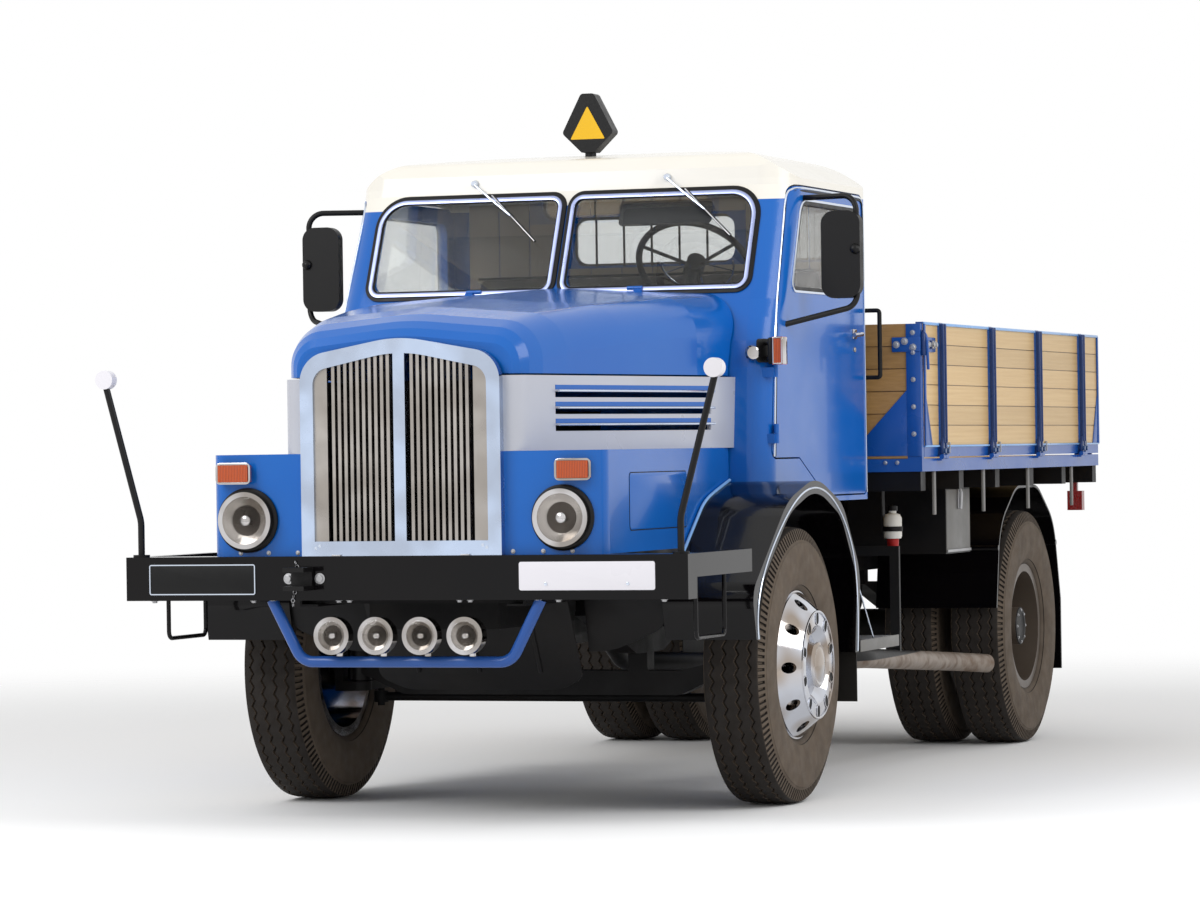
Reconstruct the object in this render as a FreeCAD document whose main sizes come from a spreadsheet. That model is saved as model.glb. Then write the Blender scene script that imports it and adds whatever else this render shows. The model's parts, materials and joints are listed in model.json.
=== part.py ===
import FreeCAD, Part
import Sketcher
import math
import os
import re

# A bonneted four-ton truck with a drop-side bed, twin rear wheels and a steered front axle.
# Lengths are millimetres. The front points to -Y, up is +Z and the truck's left side is +X.
# Each sub-part is drawn with y = 0 at the front axle; its Placement then moves it into the row frame,
# whose origin lies on the ground under the middle of the truck's length.

SIZES = {
    # Whole truck
    "overall_length": 6040,
    "front_overhang": 1520,
    "wheelbase": 3550,
    "axle_height": 519,
    "panel_gap": 6,
    "running_gap": 0.1,
    "cut_overrun": 20,
    # Chassis frame
    "frame_half_width": 430,
    "frame_bottom": 790,
    "rail_height": 180,
    "rail_flange": 70,
    "rail_thickness": 8,
    "frame_rear_setback": 79,
    "cross_member_depth": 60,
    "cross_member_height": 120,
    # Front bumper with its side returns and step loops
    "bumper_half_width": 1068,
    "bumper_front": 1428,
    "bumper_bottom": 815,
    "bumper_height": 157,
    "bumper_depth": 95,
    "bumper_thickness": 8,
    "return_width": 50,
    "return_height": 82,
    "return_rear": 705,
    "loop_inset": 54,
    "loop_front": 1190,
    "loop_rear": 868,
    "loop_bottom": 670,
    "loop_rod_radius": 8,
    "loop_bend_radius": 26,
    # Marker rods
    "marker_base_x": 1028,
    "marker_y": 1382,
    "marker_rod_radius": 12,
    "marker_straight": 120,
    "marker_tip_x": 1160,
    "marker_tip_height": 1614,
    "marker_tip_radius": 34,
    "marker_tip_thickness": 40,
    "marker_bend_radius": 120,
    "marker_flange_radius": 30,
    "marker_flange_thickness": 8,
    # Tow couplings
    "jaw_x": 375,
    "jaw_height": 893,
    "jaw_width": 80,
    "jaw_plate_thickness": 16,
    "jaw_gap": 50,
    "jaw_back_thickness": 18,
    "jaw_pin_radius": 15,
    "jaw_pin_setback": 42,
    "hitch_height": 880,
    # Lamp bar and lamps
    "bar_top_x": 512,
    "bar_bottom_x": 398,
    "bar_y": 1392,
    "bar_bottom": 596,
    "bar_tube_radius": 20,
    "bar_bend_radius": 70,
    "fog_lamp_height": 691,
    "fog_lamp_inner_x": 84,
    "fog_lamp_outer_x": 253,
    "fog_lamp_radius": 67,
    "fog_lamp_front": 1472,
    "fog_lamp_depth": 92,
    "lens_inset": 9,
    "lens_thickness": 14,
    "lamp_lip": 8,
    "fog_foot_radius": 12,
    "headlamp_x": 600,
    "headlamp_height": 1101,
    "headlamp_radius": 102,
    "headlamp_front": 1432,
    "signal_x": 646,
    "signal_height": 1269,
    "signal_half_length": 58,
    "signal_half_height": 30,
    "signal_depth": 34,
    # Nose boxes, side panels and bonnet
    "nose_front": 1391,
    "nose_top": 1336,
    "nose_half_width": 748,
    "nose_inner_x": 350,
    "nose_corner_radius": 62,
    "nose_thickness": 14,
    "panel_top": 1602,
    "panel_thickness": 14,
    "panel_front_x": 350,
    "panel_corner_x": 452,
    "panel_corner_radius": 60,
    "panel_rear_x": 770,
    "louvre_count": 3,
    "louvre_bottom": 1404,
    "louvre_pitch": 60,
    "louvre_height": 20,
    "louvre_front": 1180,
    "louvre_rear": 130,
    "louvre_lip_reach": 14,
    "louvre_lip_thickness": 6,
    "hood_edge": 1608,
    "hood_thickness": 14,
    "hood_front": 1376,
    "hood_crown_front": 1800,
    "hood_crown_rear": 1960,
    "hood_shoulder_drop": 44,
    "hood_shoulder_radius": 150,
    "hood_crown_radius": 900,
    "hood_gap": 11,
    "hood_hinge_x": 300,
    "hood_hinge_y": 175,
    "hood_hinge_height": 1953,
    "hood_hinge_length": 30,
    "hood_hinge_radius": 8,
    "hood_pin_radius": 4,
    "knuckle_play": 1,
    # Grille
    "grille_front": 1425,
    "grille_depth": 34,
    "grille_half_width": 380,
    "grille_shoulder": 1678,
    "grille_peak": 1748,
    "grille_shoulder_radius": 110,
    "grille_peak_radius": 500,
    "grille_bar": 50,
    "grille_sill": 52,
    "grille_centre_bar": 44,
    "slat_count": 10,
    "slat_width": 12,
    "slat_depth": 24,
    "slat_setback": 8,
    "slat_plate_width": 52,
    # Front fenders
    "fender_outer_x": 1080,
    "fender_thickness": 12,
    "fender_front": 745,
    "fender_front_height": 815,
    "fender_tip_front": 700,
    "fender_tip_height": 643,
    "fender_top": 1225,
    "fender_top_y": 60,
    "fender_brow_y": 300,
    "fender_brow_height": 1140,
    "fender_rear_brow_y": 405,
    "fender_rear_brow_height": 1115,
    "fender_rear": 628,
    "fender_rear_height": 850,
    "fender_end": 592,
    "fender_end_height": 540,
    "fender_small_radius": 90,
    "fender_large_radius": 480,
    "fender_lip": 34,
    # Cab
    "cab_bottom": 1121,
    "cab_rear": 1400,
    "cab_half_width": 905,
    "cab_wall": 40,
    "cab_corner_radius": 90,
    "cab_rear_radius": 70,
    "cowl_foot_y": 20,
    "cowl_height": 1640,
    "cowl_y": 55,
    "scuttle_height": 1740,
    "scuttle_y": 80,
    "sill_height": 1830,
    "sill_y": 125,
    "screen_foot_height": 1900,
    "screen_foot_y": 165,
    "screen_head_height": 2345,
    "screen_head_y": 372,
    "roof_seam": 2372,
    "roof_shoulder": 2372,
    "roof_shoulder_radius": 80,
    "roof_edge": 2478,
    "roof_top": 2522,
    "roof_edge_half_width": 745,
    "roof_fall_radius": 350,
    "roof_edge_radius": 130,
    "roof_crown_radius": 2500,
    "roof_brow_y": 400,
    "roof_brow_height": 2470,
    "roof_top_y": 850,
    "roof_rear_height": 2478,
    "screen_inner_x": 28,
    "screen_outer_x": 770,
    "screen_bottom": 1952,
    "screen_top": 2318,
    "screen_corner_radius": 55,
    "glass_thickness": 6,
    "glass_setback": 14,
    "rear_window_half_width": 352,
    "rear_window_bottom": 2092,
    "rear_window_top": 2292,
    # Doors
    "door_gap": 6,
    "door_front_low_y": 84,
    "door_front_belt_y": 120,
    "door_front_belt_height": 1690,
    "door_front_top_y": 415,
    "door_top": 2345,
    "door_rear_y": 1330,
    "door_front_bottom": 1290,
    "door_step_y": 420,
    "door_bottom": 1140,
    "door_rise_y": 760,
    "door_corner_radius": 60,
    "door_foot_radius": 30,
    "window_front_low_y": 352,
    "window_front_top_y": 500,
    "window_rear_y": 1255,
    "window_bottom": 1945,
    "window_top": 2276,
    "window_radius": 45,
    "door_hinge_offset": 12,
    "door_hinge_y": 92,
    "door_hinge_low": 1350,
    "door_hinge_high": 1600,
    "door_hinge_length": 36,
    "door_hinge_radius": 10,
    "door_pin_radius": 5,
    "door_leaf_thickness": 8,
    "door_leaf_length": 60,
    "door_leaf_foot": 22,
    # Mirrors and cab fittings
    "mirror_x": 1080,
    "mirror_y": 445,
    "mirror_width": 155,
    "mirror_height": 335,
    "mirror_centre_height": 2070,
    "mirror_depth": 46,
    "mirror_radius": 50,
    "mirror_arm_radius": 11,
    "mirror_arm_reach": 1138,
    "mirror_arm_top": 2296,
    "mirror_arm_bottom": 1872,
    "mirror_arm_bend": 60,
    "mirror_mount_top_y": 530,
    "mirror_mount_bottom": 1798,
    "mirror_mount_bottom_y": 260,
    "handle_y": 1352,
    "handle_bottom": 1610,
    "handle_top": 1880,
    "handle_standoff": 55,
    "handle_radius": 9,
    "handle_bend_radius": 30,
    "side_lamp_y": 20,
    "side_lamp_height": 1698,
    "side_lamp_half_height": 52,
    "side_lamp_depth": 56,
    "side_lamp_reach": 62,
    "side_lamp_lens": 40,
    "wiper_pivot_x": 420,
    "wiper_radius": 5,
    "wiper_standoff": 20,
    "wiper_pivot_height": 2368,
    "wiper_end_x": 150,
    "wiper_end_height": 2130,
    "sign_y": 620,
    "sign_width": 214,
    "sign_height": 232,
    "sign_depth": 66,
    "sign_bottom": 2508,
    "sign_corner_radius": 16,
    "sign_neck_radius": 22,
    # Inside the cab
    "dash_front": 150,
    "dash_depth": 252,
    "dash_bottom": 1690,
    "dash_top": 1905,
    "dash_half_width": 790,
    "seat_front": 820,
    "seat_height": 1600,
    "seat_base_height": 1430,
    "seat_half_width": 760,
    "seat_back_front": 1235,
    "seat_back_top": 2070,
    "seat_radius": 50,
    "steering_x": 432,
    "steering_y": 600,
    "steering_height": 2046,
    "steering_radius": 224,
    "steering_rim_radius": 13,
    "steering_hub_radius": 38,
    "steering_column_radius": 20,
    "steering_column_length": 900,
    "steering_spoke_radius": 7,
    # Power unit
    "engine_half_width": 250,
    "engine_front": 1120,
    "engine_rear": 10,
    "engine_bottom": 700,
    "engine_top": 1480,
    "gearbox_half_width": 170,
    "gearbox_rear": 760,
    "gearbox_bottom": 700,
    "gearbox_top": 1040,
    "radiator_half_width": 330,
    "radiator_front": 1320,
    "radiator_depth": 90,
    "radiator_bottom": 985,
    "radiator_top": 1590,
    # Axles and springs
    "kingpin_x": 760,
    "kingpin_radius": 22,
    "kingpin_boss_radius": 46,
    "kingpin_boss_height": 120,
    "knuckle_lug_height": 36,
    "knuckle_lug_gap": 6,
    "knuckle_web": 34,
    "spindle_radius": 40,
    "spindle_end_x": 1030,
    "beam_height": 96,
    "beam_width": 80,
    "beam_drop": 90,
    "beam_drop_x": 560,
    "steering_arm_length": 215,
    "tie_rod_radius": 17,
    "tie_rod_drop": 70,
    "tie_rod_end_height": 44,
    "ball_stud_radius": 14,
    "rear_housing_radius": 78,
    "rear_ball_radius": 215,
    "rear_ball_width": 250,
    "rear_spindle_radius": 70,
    "prop_shaft_radius": 42,
    "front_spring_half_length": 620,
    "rear_spring_half_length": 660,
    "spring_x": 395,
    "spring_width": 76,
    "spring_eye_height": 742,
    "front_spring_depth": 90,
    "rear_spring_depth": 130,
    "spring_end_thickness": 14,
    "spring_hanger_width": 60,
    # Wheels
    "front_wheel_x": 917,
    "tyre_radius": 519,
    "tyre_width": 249,
    "tyre_tread_width": 190,
    "tyre_shoulder_drop": 26,
    "tyre_bead_radius": 256,
    "tyre_bead_half_width": 88,
    "tyre_side_radius": 395,
    "rim_flange_radius": 278,
    "rim_half_width": 95,
    "rim_wall": 12,
    "disc_thickness": 14,
    "cover_ring_radius": 272,
    "cover_face_radius": 203,
    "cover_face_out": 176,
    "cover_recess_out": 138,
    "cover_recess_radius": 118,
    "cover_recess_outer_radius": 148,
    "cover_cap_radius": 86,
    "cover_cap_out": 176,
    "cover_thickness": 6,
    "cover_hole_radius": 21,
    "cover_hole_count": 10,
    "cover_hole_ring": 238,
    "hub_radius": 84,
    "rear_outer_x": 885,
    "twin_spacing": 300,
    "rear_disc_depth": 60,
    "rear_hub_out": 60,
    "hand_hole_radius": 34,
    "hand_hole_count": 8,
    "hand_hole_ring": 196,
    # Bed
    "bed_half_width": 1104,
    "bed_front": 1450,
    "bed_floor_bottom": 1240,
    "bed_floor_thickness": 40,
    "bed_field_rise": 6,
    "bed_field_margin": 10,
    "bed_rail_height": 52,
    "bed_rail_thickness": 10,
    "bed_top": 1826,
    "board_thickness": 30,
    "board_count": 6,
    "board_groove": 4,
    "iron_thickness": 8,
    "iron_width": 46,
    "side_rail_height": 46,
    "side_hinge_out": 21,
    "hinge_radius": 10,
    "hinge_pin_radius": 5,
    "hinge_end_gap": 5,
    "hinge_bracket_width": 30,
    "post_width": 60,
    "runner_height": 180,
    "runner_notch": 20,
    "bearer_width": 70,
    "bearer_height": 90,
    "bearer_count": 6,
    # Rear fenders, side boxes, exhaust, flaps and tail lamps
    "rear_fender_inner_x": 452,
    "rear_fender_outer_x": 1000,
    "rear_fender_reach": 560,
    "rear_fender_foot": 620,
    "rear_fender_brow": 490,
    "rear_fender_brow_height": 980,
    "rear_fender_top_half": 190,
    "rear_fender_tail": 600,
    "rear_fender_tail_foot": 300,
    "fender_stay_radius": 13,
    "flap_thickness": 8,
    "front_flap_inner_x": 800,
    "front_flap_bottom": 348,
    "step_front_y": 690,
    "step_rear_y": 1231,
    "step_inner_x": 800,
    "step_outer_x": 1056,
    "step_height": 536,
    "step_thickness": 40,
    "step_arm_width": 40,
    "toolbox_front": 2355,
    "toolbox_length": 390,
    "toolbox_bottom": 872,
    "toolbox_top": 1150,
    "toolbox_inner_x": 520,
    "toolbox_outer_x": 950,
    "tank_front": 1560,
    "tank_length": 760,
    "tank_bottom": 640,
    "tank_top": 1090,
    "tank_inner_x": 470,
    "tank_outer_x": 900,
    "tank_corner_radius": 60,
    "exhaust_front_y": 900,
    "exhaust_side_y": 1330,
    "exhaust_outlet_y": 2700,
    "exhaust_rear_y": 2950,
    "exhaust_cross_x": 640,
    "exhaust_x": 880,
    "exhaust_outlet_x": 962,
    "exhaust_outlet_height": 380,
    "exhaust_height": 440,
    "exhaust_radius": 40,
    "exhaust_bend_radius": 160,
    "exhaust_engine_x": 260,
    "exhaust_drop_y": 200,
    "tail_lamp_x": 1000,
    "tail_lamp_setback": 49,
    "tail_lamp_height": 1066,
    "tail_lamp_width": 70,
    "tail_lamp_half_height": 45,
    "tail_lamp_depth": 48,
}

doc = FreeCAD.newDocument("truck")
sheet = doc.addObject("Spreadsheet::Sheet", "Sizes")
for row, (alias, number) in enumerate(SIZES.items(), start=1):
    sheet.set(f"A{row}", alias)
    sheet.set(f"B{row}", str(number))
    sheet.setAlias(f"B{row}", alias)
doc.recompute()

WORD = re.compile(r"[a-z][a-z_]+")
UP = FreeCAD.Vector(0, 0, 1)
PLANES = {"XY": "XY_Plane", "XZ": "XZ_Plane", "YZ": "YZ_Plane"}
SHIFT_Y = "front_overhang - overall_length / 2"
REAR_AXLE = "wheelbase"
DROP_HINGE = "(bed_floor_bottom + bed_floor_thickness + panel_gap)"
BED_REAR = "(overall_length - front_overhang - side_hinge_out - hinge_radius)"
FRAME_REAR = f"({BED_REAR} - frame_rear_setback)"
TAIL_LAMP_FRONT = f"({BED_REAR} - tail_lamp_setback)"
BUMPER_TOP = "(bumper_bottom + bumper_height)"
FENDER_INNER = "(nose_half_width - nose_thickness)"
nodes = {}


# Expressions over the sheet


def cells(expression):
    """The expression with each size's name pointing at its cell in the sheet."""
    def point(match):
        word = match.group(0)
        return f"Sizes.{word}" if word in SIZES else word
    return WORD.sub(point, str(expression))


def value(expression):
    return float(sheet.evalExpression(cells(expression)))


def bind(thing, **expressions):
    for name, expression in expressions.items():
        thing.setExpression(name.replace("__", "."), cells(expression))


# Sketches


def rounded_path(corners):
    """Corner points, radii and the tangent points before and after each corner."""
    points = [FreeCAD.Vector(value(corner[0]), value(corner[1]), 0) for corner in corners]
    radii = [value(corner[2]) if len(corner) > 2 else 0 for corner in corners]
    path = []
    for index, (point, radius) in enumerate(zip(points, radii)):
        if radius == 0:
            path.append((point, 0, point, point, None, 1))
            continue
        back = (points[index - 1] - point).normalize()
        ahead = (points[(index + 1) % len(points)] - point).normalize()
        half = math.acos(max(-1, min(1, back.dot(ahead)))) / 2
        setback = radius / math.tan(half)
        centre = point + (back + ahead).normalize() * (radius / math.sin(half))
        turn = 1 if back.cross(ahead).z < 0 else -1
        path.append((point, radius, point + back * setback, point + ahead * setback, centre, turn))
    return path


def draw_outline(sketch, corners, closed=True):
    """A line through the corners, bound to the sheet; a third entry rounds its corner by that radius."""
    path = rounded_path(corners)
    count = len(path)
    geometry, constraints, bound = [], [], []
    lines, arcs = {}, {}
    for index in range(count if closed else count - 1):
        start, end = path[index][3], path[(index + 1) % count][2]
        lines[index] = len(geometry)
        geometry.append((Part.LineSegment(start, end), False))
    for index, (point, radius, before, after, centre, turn) in enumerate(path):
        if not radius:
            continue
        first, last = (before, after) if turn > 0 else (after, before)
        begin = math.atan2(first.y - centre.y, first.x - centre.x)
        finish = math.atan2(last.y - centre.y, last.x - centre.x)
        arcs[index] = len(geometry)
        geometry.append((Part.ArcOfCircle(Part.Circle(centre, UP, radius), begin, finish), False))
        geometry.append((Part.Point(point), True))
    for shape, helper in geometry:
        sketch.addGeometry(shape, helper)

    def pin(geometry_index, position, corner):
        for kind, coordinate, expression in zip(("DistanceX", "DistanceY"), path[corner][0], corners[corner]):
            bound.append((len(constraints), expression))
            constraints.append(Sketcher.Constraint(kind, -1, 1, geometry_index, position, coordinate))

    for index in range(count):
        before, after = lines.get((index - 1) % count), lines.get(index)
        if not closed and index == 0:
            pin(after, 1, index)
        elif not closed and index == count - 1:
            pin(before, 2, index)
        elif index in arcs:
            arc, turn = arcs[index], path[index][5]
            entry, leave = (1, 2) if turn > 0 else (2, 1)
            constraints.append(Sketcher.Constraint("Tangent", before, 2, arc, entry))
            constraints.append(Sketcher.Constraint("Tangent", arc, leave, after, 1))
            bound.append((len(constraints), corners[index][2]))
            constraints.append(Sketcher.Constraint("Radius", arc, path[index][1]))
            constraints.append(Sketcher.Constraint("PointOnObject", arc + 1, 1, before))
            constraints.append(Sketcher.Constraint("PointOnObject", arc + 1, 1, after))
            pin(arc + 1, 1, index)
        else:
            constraints.append(Sketcher.Constraint("Coincident", before, 2, after, 1))
            pin(after, 1, index)
    sketch.addConstraint(constraints)
    for index, expression in bound:
        sketch.setExpression(f"Constraints[{index}]", cells(expression))


def body_sketch(body, plane, name, offset="0"):
    """A sketch on one of the body's own origin planes, moved along the positive axis by the offset."""
    sketch = body.newObject("Sketcher::SketchObject", name)
    origin_plane = [item for item in body.Origin.OriginFeatures if item.Role == PLANES[plane]][0]
    sketch.AttachmentSupport = [(origin_plane, "")]
    sketch.MapMode = "FlatFace"
    sign = "-" if plane == "XZ" else ""
    sketch.setExpression("AttachmentOffset.Base.z", cells(f"{sign}({offset})"))
    return sketch


# Solids


def prism(name, plane, corners, start, length):
    """A padded outline that runs from start along the positive axis across its plane."""
    body = doc.addObject("PartDesign::Body", name)
    sketch = body_sketch(body, plane, f"{name}_outline", start)
    draw_outline(sketch, corners)
    pad = body.newObject("PartDesign::Pad", f"{name}_pad")
    pad.Profile = sketch
    pad.Reversed = plane == "XZ"
    bind(pad, Length=length)
    return body


def turned(name, plane, corners, around):
    """A profile revolved a full turn about the sketch's horizontal (H) or vertical (V) axis."""
    body = doc.addObject("PartDesign::Body", name)
    sketch = body_sketch(body, plane, f"{name}_profile")
    draw_outline(sketch, corners)
    turn = body.newObject("PartDesign::Revolution", f"{name}_turn")
    turn.Profile = sketch
    turn.ReferenceAxis = (sketch, [f"{around}_Axis"])
    turn.Angle = 360
    return body


def box(name, low, high):
    """A block between two corners, each given as three expressions."""
    block = doc.addObject("Part::Box", name)
    bind(block, Length=f"({high[0]}) - ({low[0]})", Width=f"({high[1]}) - ({low[1]})",
         Height=f"({high[2]}) - ({low[2]})", Placement__Base__x=low[0], Placement__Base__y=low[1],
         Placement__Base__z=low[2])
    return block


TURNS = {
    "X": FreeCAD.Rotation(FreeCAD.Vector(0, 1, 0), 90),
    "Y": FreeCAD.Rotation(FreeCAD.Vector(1, 0, 0), -90),
    "Z": FreeCAD.Rotation(),
}


def cylinder(name, axis, foot, radius, length):
    """A round bar from its foot along the positive axis."""
    bar = doc.addObject("Part::Cylinder", name)
    bar.Placement = FreeCAD.Placement(FreeCAD.Vector(), TURNS[axis])
    bind(bar, Radius=radius, Height=length, Placement__Base__x=foot[0], Placement__Base__y=foot[1],
         Placement__Base__z=foot[2])
    return bar


def fuse(name, *things):
    joined = doc.addObject("Part::MultiFuse", name)
    joined.Shapes = list(things)
    joined.Refine = True
    return joined


def common(name, *things):
    shared = doc.addObject("Part::MultiCommon", name)
    shared.Shapes = list(things)
    return shared


def cut(name, base, *tools):
    cutter = tools[0] if len(tools) == 1 else fuse(f"{name}_tools", *tools)
    result = doc.addObject("Part::Cut", name)
    result.Base = base
    result.Tool = cutter
    return result


def mirrored(name, thing):
    """The thing seen in the truck's centre plane."""
    other = doc.addObject("Part::Mirroring", name)
    other.Source = thing
    other.Normal = FreeCAD.Vector(1, 0, 0)
    return other


def both_sides(name, *things):
    sides = list(things)
    for thing in things:
        sides.append(mirrored(f"{thing.Name}_opposite", thing))
    return fuse(name, *sides)


def shaped(name, shape):
    """A sub-part whose form comes from a route in space, which no sketch or primitive holds."""
    feature = doc.addObject("Part::Feature", name)
    feature.Shape = shape
    return feature


def bent_tube(name, corners, bend_radius, tube_radius):
    """A round bar along straight runs joined by tangent arcs; corners are triples of expressions."""
    points = [FreeCAD.Vector(*[value(part) for part in corner]) for corner in corners]
    bend = value(bend_radius)
    edges, last = [], points[0]
    for before, corner, after in zip(points, points[1:], points[2:]):
        back, ahead = (before - corner).normalize(), (after - corner).normalize()
        half = back.getAngle(ahead) / 2
        setback = bend / math.tan(half)
        entry, leave = corner + back * setback, corner + ahead * setback
        centre = corner + (back + ahead).normalize() * (bend / math.sin(half))
        middle = centre + (corner - centre).normalize() * bend
        edges.append(Part.LineSegment(last, entry).toShape())
        edges.append(Part.Arc(entry, middle, leave).toShape())
        last = leave
    edges.append(Part.LineSegment(last, points[-1]).toShape())
    route = Part.Wire(edges)
    ring = Part.Wire(Part.Circle(points[0], points[1] - points[0], value(tube_radius)).toShape())
    return shaped(name, route.makePipeShell([ring], True, False))


def node(label, thing):
    """Name a finished sub-part and place it in the row frame."""
    placed = doc.addObject("Part::Compound", f"{label}_placed")
    placed.Links = [thing]
    placed.Label = label
    bind(placed, Placement__Base__y=SHIFT_Y)
    nodes[label] = placed


def pair_of_nodes(label, thing):
    """The left-hand piece and its mirror image, each as a sub-part of its own."""
    node(f"{label}_left", thing)
    node(f"{label}_right", mirrored(f"{thing.Name}_right", thing))


# Chassis, bumper and what hangs on them


def make_chassis_frame():
    web, bottom = "frame_half_width", "frame_bottom"
    inner = f"{web} - rail_flange"
    top = f"{bottom} + rail_height"
    skin = "rail_thickness"
    front = "-(bumper_front - bumper_depth)"
    rail = prism("rail", "XZ", [
        (web, bottom), (web, top), (inner, top), (inner, f"{top} - {skin}"),
        (f"{web} - {skin}", f"{top} - {skin}"), (f"{web} - {skin}", f"{bottom} + {skin}"),
        (inner, f"{bottom} + {skin}"), (inner, bottom)],
        front, f"{FRAME_REAR} - ({front})")
    horn = box("rail_horn", (inner, "-(bumper_front - bumper_thickness)", "bumper_bottom + bumper_thickness"),
               (web, front, "bumper_bottom + bumper_height - bumper_thickness"))
    members = []
    for number, share in enumerate(FRAME_MEMBER_SHARES):
        reach = f"({FRAME_REAR} - ({front}) - cross_member_depth)"
        middle = f"{front} + cross_member_depth / 2 + {share} * {reach}"
        members.append(box(f"cross_member_{number}",
                           (f"-({web} - {skin})", f"{middle} - cross_member_depth / 2", f"{bottom} + {skin}"),
                           (f"{web} - {skin}", f"{middle} + cross_member_depth / 2",
                            f"{bottom} + {skin} + cross_member_height")))
    node("chassis_frame", fuse("frame", rail, mirrored("rail_right", rail), horn,
                               mirrored("rail_horn_right", horn), *members))


FRAME_MEMBER_SHARES = (0.01, 0.385, 0.53, 0.66, 0.9, 1.0)


def make_front_bumper():
    front, depth, skin = "bumper_front", "bumper_depth", "bumper_thickness"
    bottom, top = "bumper_bottom", "bumper_bottom + bumper_height"
    back = f"-({front} - {depth})"
    channel = prism("bumper_channel", "YZ", [
        (f"-{front}", bottom), (back, bottom), (back, f"{bottom} + {skin}"),
        (f"-({front} - {skin})", f"{bottom} + {skin}"), (f"-({front} - {skin})", f"{top} - {skin}"),
        (back, f"{top} - {skin}"), (back, top), (f"-{front}", top)],
        "-bumper_half_width", "2 * bumper_half_width")
    end = box("bumper_end", ("bumper_half_width - bumper_thickness", f"-({front} - {skin})", bottom),
              ("bumper_half_width", back, top))
    arm = box("return_beam", ("bumper_half_width - return_width", back, f"{top} - return_height"),
              ("bumper_half_width", "-return_rear", top))
    loop_x = "bumper_half_width - loop_inset"
    seat = f"{top} - return_height + loop_rod_radius"
    loop = bent_tube("step_loop", [
        (loop_x, "-loop_front", seat), (loop_x, "-loop_front", "loop_bottom"),
        (loop_x, "-loop_rear", "loop_bottom"), (loop_x, "-loop_rear", seat)],
        "loop_bend_radius", "loop_rod_radius")
    foot = box("loop_foot", (f"{loop_x} - loop_rod_radius", "-loop_front - loop_rod_radius", f"{seat} - loop_rod_radius"),
               ("bumper_half_width - return_width + loop_rod_radius", "-loop_rear + loop_rod_radius", seat))
    node("front_bumper", fuse("bumper", channel, both_sides("bumper_ends", end, arm, loop, foot)))


def make_marker_rods():
    foot = "bumper_bottom + bumper_height"
    rise = f"{foot} + marker_flange_thickness"
    rod = bent_tube("marker_rod", [
        ("marker_base_x", "-marker_y", rise),
        ("marker_base_x", "-marker_y", f"{rise} + marker_straight"),
        ("marker_tip_x", "-marker_y", "marker_tip_height - marker_tip_radius + lamp_lip")],
        "marker_bend_radius", "marker_rod_radius")
    flange = cylinder("marker_flange", "Z", ("marker_base_x", "-marker_y", foot), "marker_flange_radius",
                      "marker_flange_thickness")
    tip = cylinder("marker_tip", "Y",
                   ("marker_tip_x", "-marker_y - marker_tip_thickness / 2", "marker_tip_height"),
                   "marker_tip_radius", "marker_tip_thickness")
    rods = cut("marker_rod_cut", fuse("marker_stem", rod, flange), tip)
    node("marker_rods", both_sides("marker_pair", rods))
    node("marker_tips", both_sides("marker_tip_pair", tip))


def tow_jaw(name, low_y, high_y, back_low, back_high, pin_y, middle_x, height):
    """Two jaw plates on a back plate, with the bore for a pin through both."""
    half, plate, gap = "jaw_width / 2", "jaw_plate_thickness", "jaw_gap / 2"
    upper = box(f"{name}_upper", (f"{middle_x} - {half}", low_y, f"{height} + {gap}"),
                (f"{middle_x} + {half}", high_y, f"{height} + {gap} + {plate}"))
    lower = box(f"{name}_lower", (f"{middle_x} - {half}", low_y, f"{height} - {gap} - {plate}"),
                (f"{middle_x} + {half}", high_y, f"{height} - {gap}"))
    back = box(f"{name}_back", (f"{middle_x} - {half}", back_low, f"{height} - {gap} - {plate}"),
               (f"{middle_x} + {half}", back_high, f"{height} + {gap} + {plate}"))
    bore = cylinder(f"{name}_bore", "Z", (middle_x, pin_y, f"{height} - jaw_gap"), "jaw_pin_radius", "2 * jaw_gap")
    return cut(f"{name}_jaw", fuse(f"{name}_plates", upper, lower, back), bore)


def make_tow_couplings():
    front = tow_jaw("front_tow", "-front_overhang", "-bumper_front", "-bumper_front - jaw_back_thickness",
                    "-bumper_front", "-front_overhang + jaw_pin_setback", "-jaw_x", "jaw_height")
    rear = tow_jaw("rear_tow", FRAME_REAR, BED_REAR, FRAME_REAR,
                   f"{FRAME_REAR} + jaw_back_thickness", f"{BED_REAR} - jaw_pin_setback", "0", "hitch_height")
    node("tow_couplings", fuse("tow_pair", front, rear))


def lamp(name, middle_x, height, front, radius, depth):
    """A round lamp's shell, open at the front behind its bezel, and its lens."""
    depth = f"({depth})"
    shell = turned(f"{name}_shell", "YZ", [
        ("0", f"{radius} - lens_inset - lamp_lip"), ("0", radius),
        (f"{depth} / 2", radius), (depth, f"{radius} / 2"), (depth, "0"),
        (f"{depth} - lamp_lip", "0"), (f"{depth} - lamp_lip", f"{radius} / 2 - lamp_lip"),
        ("lens_thickness + lamp_lip", f"{radius} - lens_inset"),
        ("lamp_lip", f"{radius} - lens_inset")], "H")
    lens = turned(f"{name}_lens", "YZ", [
        ("lamp_lip", "0"), ("lamp_lip", f"{radius} - lens_inset"),
        ("lamp_lip + lens_thickness", f"{radius} - lens_inset"), ("lamp_lip + lens_thickness", "0")], "H")
    for piece in (shell, lens):
        bind(piece, Placement__Base__x=middle_x, Placement__Base__y=f"-({front})", Placement__Base__z=height)
    return shell, lens


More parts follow.
